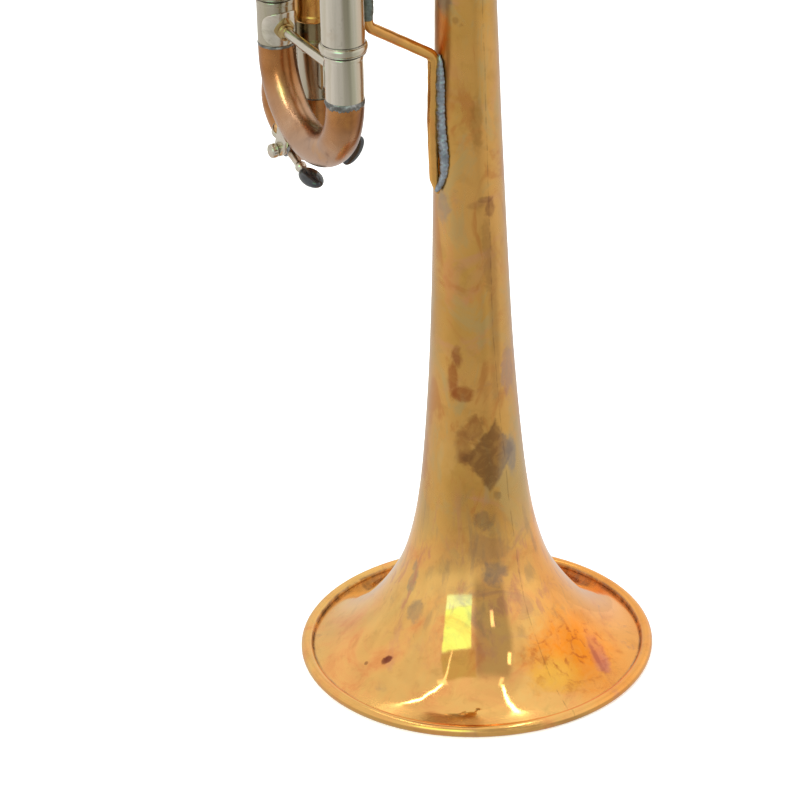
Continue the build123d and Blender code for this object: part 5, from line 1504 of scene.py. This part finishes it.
# ================================================================== mouthpiece
# columns: radius, height
MOUTHPIECE = [
    (4.97, 460), (5.57, 482), (5.7, 490), (6.1, 500), (7.2, 510), (9.4, 517), (12.0, 523),
    (13.2, 529), (13.4, 535), (13.2, 541), (13.6, 543.2), (13.7, 545), (13.2, 546.4),
    (12.0, 547), (10.2, 546.8), (9.0, 546), (8.3, 544.5), (8.05, 541), (7.4, 537),
    (5.9, 533.5), (3.6, 531), (2.1, 529.8), (1.85, 528.5), (1.85, 522), (2.6, 505),
    (3.8, 480), (4.3, 460)]
part = Part()
part.lathe(soften(MOUTHPIECE, 1.6, 5, 4.0), (X_LEAD, 0), segs=160)
part.build("mouthpiece_shell", SILVER, "mouthpiece", "mouthpiece", sharp=50)

# ------------------------------------------------------------------ CAD nodes that stay
kept = {"valve_guides": STEEL, "third_slide_rod_guide": NICKEL, "third_finger_ring": NICKEL,
        "first_thumb_saddle": NICKEL, "third_key_lever": NICKEL_Y, "piston_1": MONEL,
        "piston_2": MONEL, "piston_3": MONEL}
for name, material in kept.items():
    slots = nodes[name].data.materials
    slots.clear()
    slots.append(material)

# ================================================================== camera (m)
CAMERA_SIDE, YAW, PITCH, ROLL = (
    math.radians(v) for v in (28.390978, -1.073836, 28.301482, -1.482934))
CAMERA_DISTANCE, CAMERA_HEIGHT = 1.318661, 0.808186
LENS, SENSOR = 197.910135, 36.0  # mm


def place(ob, x_axis, y_axis, z_axis, origin):
    """Sets an object's matrix from its axes and origin."""
    rows = [tuple(row) for row in zip(x_axis, y_axis, z_axis, origin)]
    ob.matrix_world = Matrix(rows + [(0, 0, 0, 1)])


azimuth = CAMERA_SIDE + YAW
heading = Vector((math.sin(azimuth), math.cos(azimuth), 0))
level_right = Vector((math.cos(azimuth), -math.sin(azimuth), 0))
forward = heading * math.cos(PITCH) - Vector((0, 0, 1)) * math.sin(PITCH)
up = heading * math.sin(PITCH) + Vector((0, 0, 1)) * math.cos(PITCH)
camera_data = bpy.data.cameras.new("camera")
camera_data.sensor_width, camera_data.lens = SENSOR, LENS
camera_data.clip_start, camera_data.clip_end = 0.05, 60
camera = bpy.data.objects.new("camera", camera_data)
place(camera, level_right * math.cos(ROLL) + up * math.sin(ROLL),
      -level_right * math.sin(ROLL) + up * math.cos(ROLL), -forward,
      Vector((-CAMERA_DISTANCE * math.sin(CAMERA_SIDE),
              -CAMERA_DISTANCE * math.cos(CAMERA_SIDE), CAMERA_HEIGHT)))
scene.collection.objects.link(camera)
scene.camera = camera


# ================================================================== floor
def floor_material():
    """Pale floor: reflections see a graded glow, the camera sees it lifted toward white."""
    g = Surface("pale_floor")
    g.finish(Base_Color=g.mix(g.noise(scale=2.0, detail=3, rough=0.5), (250, 250, 250),
                              (246, 246, 246)), Roughness=0.9, Specular_IOR_Level=0.1)
    place_on = g.add("NewGeometry", out="Position")
    flat = g.vector("NORMALIZE", g.vector("MULTIPLY", place_on, (1, 1, 0)))
    front = g.vector("DOT_PRODUCT", flat, (-heading.x, -heading.y, 0.0))
    side = g.vector("DOT_PRODUCT", flat, (level_right.x, level_right.y, 0.0))
    bright = front.ease(start=0.98, end=0.10, low=0.60, high=0.82)
    # darker wedge at the right front
    wedge = side.ease(start=0.38, end=0.50) * side.ease(start=0.66, end=0.54)
    wedge = wedge * front.ease(start=0.2, end=0.5)
    bright = bright - wedge * 0.12
    # the glow dims close to the bell: a painted shadow of the bell on the reflected floor
    near = g.vector("LENGTH", place_on).ease(start=0.02, end=0.12, low=0.80, high=1.0)
    glow = g.add("Emission", {"Strength": bright * near, "Color": (1.0, 0.985, 0.96, 1)})
    rays = g.add("LightPath").socket.node.outputs
    seen = g.add("MixShader", {0: Value(g, rays["Is Glossy Ray"]), 1: g.shader, 2: glow})
    # extra light for camera rays only, which keeps the contact shadow
    lift = g.add("MixShader", {0: Value(g, rays["Is Camera Ray"]),
                               1: g.add("Emission", {"Strength": 0.0}),
                               2: g.add("Emission", {"Strength": 0.35})})
    g.put(g.add("AddShader", {0: seen, 1: lift}), g.result)
    return g.material


floor_mesh = bpy.data.meshes.new("floor")
bm = bmesh.new()
bmesh.ops.create_circle(bm, cap_ends=True, radius=25, segments=128)
bm.to_mesh(floor_mesh)
bm.free()
floor = bpy.data.objects.new("floor", floor_mesh)
floor.location = (0, 0, -0.0002)
scene.collection.objects.link(floor)
floor_mesh.materials.append(floor_material())

# ================================================================== surroundings
# Coloured panes: turn from -Y toward -X (degrees), elevation (degrees), soft edge, colour
PANES = [
    (29, 72, 43.5, 62, 1.5, (0.64, 0.62, 0.44, 1)),
    (34, 71, 13.5, 22, 0.8, (1.15, 1.95, 2.10, 1)),
    (34, 71, 22, 43, 0.8, (1.18, 2.15, 1.15, 1)),
]
# Small lamps: the same first five columns, then brightness
LAMPS = [(5, 9, 24, 32, 0.8, 1.9), (-13, -9, 44, 52, 0.8, 2.4), (-7, -3, 62, 68, 1.2, 1.7),
         (70, 82, 61, 65, 1.4, 1.6)]
# Straight ceiling lamps: two ends as across-over-up slopes, width, brightness
STRIPS = [((-0.909, -0.568), (-0.475, -0.112), 0.014, 2.0),
          ((-0.475, -0.112), (-0.280, 0.400), 0.011, 12.0),
          ((-0.280, 0.400), (-0.02, 0.70), 0.014, 3.5),
          ((0.06, -0.41), (0.292, 0.142), 0.012, 12.0)]


def pane(turn, elevation, turn_0, turn_1, elev_0, elev_1, soft):
    """Mask of one rectangle of the surroundings."""
    across = (turn.ease(turn_0 - soft, turn_0 + soft)
              * turn.ease(turn_1 + soft, turn_1 - soft))
    return across * (elevation.ease(elev_0 - soft, elev_0 + soft)
                     * elevation.ease(elev_1 + soft, elev_1 - soft))


def strip(g, ceiling, start, end, width):
    """Mask of a straight lamp on a level ceiling, dimmer toward its ends."""
    span = (end[0] - start[0], end[1] - start[1], 0.0)
    offset = g.vector("SUBTRACT", ceiling, (start[0], start[1], 0.0))
    along = g.math("DIVIDE", g.vector("DOT_PRODUCT", offset, span),
                   span[0] ** 2 + span[1] ** 2, clamp=True)
    foot = g.add("VectorMath", {0: span, "Scale": along}, operation="SCALE")
    distance = g.vector("LENGTH", g.vector("SUBTRACT", offset, foot))
    fade = (along.ease(start=0.0, end=0.12, low=0.35, high=1.0)
            * along.ease(start=1.0, end=0.80, low=0.25, high=1.0))
    return distance.ease(start=width * 1.5, end=width * 0.2) * fade


def studio(world):
    """Plain to the camera, a pale studio room to everything that reflects it."""
    world.use_nodes = True
    g = Graph(world.node_tree, "Generated")
    direction = g.vector("NORMALIZE", g.position)
    x, y, z = g.split(direction)
    degrees = 180 / PI
    elevation = g.math("ARCSINE", z) * degrees
    turn = g.math("ARCTAN2", x * -1.0, y * -1.0) * degrees
    up_only = g.math("MAXIMUM", z, 0.02)
    ceiling = g.vector("DIVIDE", g.vector("MULTIPLY", direction, (1, 1, 0)),
                       g.add("CombineXYZ", {0: up_only, 1: up_only, 2: up_only}))
    # walls: cloudy, brighter on the +X side, with a dark panel in front
    cloudy = g.noise(scale=2.2, detail=3, rough=0.5)
    room = cloudy.ease(start=0.3, end=0.7, low=0.76, high=0.92)
    room = room + turn.ease(start=-20, end=-40) * turn.ease(start=-160, end=-140) * 0.10
    room = g.math("MAXIMUM", room, elevation.ease(start=62, end=78, low=0.0, high=0.90))
    dark = pane(turn, elevation, -14, 30, 4, 62, soft=5.0)
    room = room * (1.0 - dark) + dark * 0.50
    sky = g.add("CombineXYZ", {0: room * 1.0, 1: room * 0.985, 2: room * 0.96})
    for *edges, colour in PANES:
        sky = g.mix(pane(turn, elevation, *edges), sky, colour)
    lamps = [(pane(turn, elevation, *edges), level) for *edges, level in LAMPS]
    lamps += [(strip(g, ceiling, *shape), level) for *shape, level in STRIPS]
    for mask, level in lamps:
        sky = g.mix(mask, sky, (level, level * 0.99, level * 0.96, 1))
    reflected = g.add("Background", {"Color": sky})
    seen = g.add("MixShader", {0: g.add("LightPath", out="Is Camera Ray"), 1: reflected,
                               2: g.add("Background")})
    g.put(seen, g.tree.nodes.new("ShaderNodeOutputWorld").inputs[0])


scene.world = bpy.data.worlds.new("studio")
studio(scene.world)


# ================================================================== lights
def area_light(name, width, height, power, color=(1, 1, 1)):
    light = bpy.data.lights.new(name, "AREA")
    light.shape, light.size, light.size_y = "RECTANGLE", width, height
    light.energy, light.color = power, color
    ob = bpy.data.objects.new(name, light)
    ob.visible_camera = False
    scene.collection.objects.link(ob)
    return ob


def aim(ob, location, target):
    ob.location = location
    ob.rotation_mode = "QUATERNION"
    ob.rotation_quaternion = (Vector(target) - Vector(location)).to_track_quat("-Z", "Y")
    ob.rotation_mode = "XYZ"


# slim lamp left of the crook, seen by the crook alone: its two ends and its target
lamp_low, lamp_high = Vector((-0.423, -0.305, 0.278)), Vector((-0.301, -0.057, 0.624))
lamp_target = Vector((-0.045, 0.012, 0.200))
crook_lamp = area_light("crook_lamp", width=0.44, height=0.045, power=0.62)
middle = (lamp_low + lamp_high) / 2
lamp_x = (lamp_high - lamp_low).normalized()
lamp_z = middle - lamp_target
lamp_z = (lamp_z - lamp_x * lamp_z.dot(lamp_x)).normalized()
place(crook_lamp, lamp_x, lamp_z.cross(lamp_x), lamp_z, middle)
only_crook = bpy.data.collections.new("lit_by_crook_lamp")
only_crook.objects.link(bpy.data.objects["slide_crook"])
crook_lamp.light_linking.receiver_collection = only_crook

# soft fill from the left front and from above; both stay out of the reflections
FILL_AZIMUTH, FILL_ELEVATION = math.radians(-136), math.radians(32)  # azimuth from +Y to +X
FILL_DISTANCE, FILL_TARGET = 2.3, (0, 0, 0.03)
fill = area_light("front_fill", width=1.25, height=1.35, power=34, color=(1.0, 0.99, 0.95))
aim(fill, (FILL_DISTANCE * math.sin(FILL_AZIMUTH) * math.cos(FILL_ELEVATION),
           FILL_DISTANCE * math.cos(FILL_AZIMUTH) * math.cos(FILL_ELEVATION),
           FILL_TARGET[2] + FILL_DISTANCE * math.sin(FILL_ELEVATION)), FILL_TARGET)
overhead = area_light("overhead", width=2.2, height=2.2, power=26)
aim(overhead, (0.3, 0.5, 2.4), (0, 0, 0.1))
fill.visible_glossy = overhead.visible_glossy = False

scene.view_settings.view_transform = "Standard"
scene.view_settings.look = "None"
scene.view_settings.exposure = 0.0
scene.view_settings.gamma = 1.0
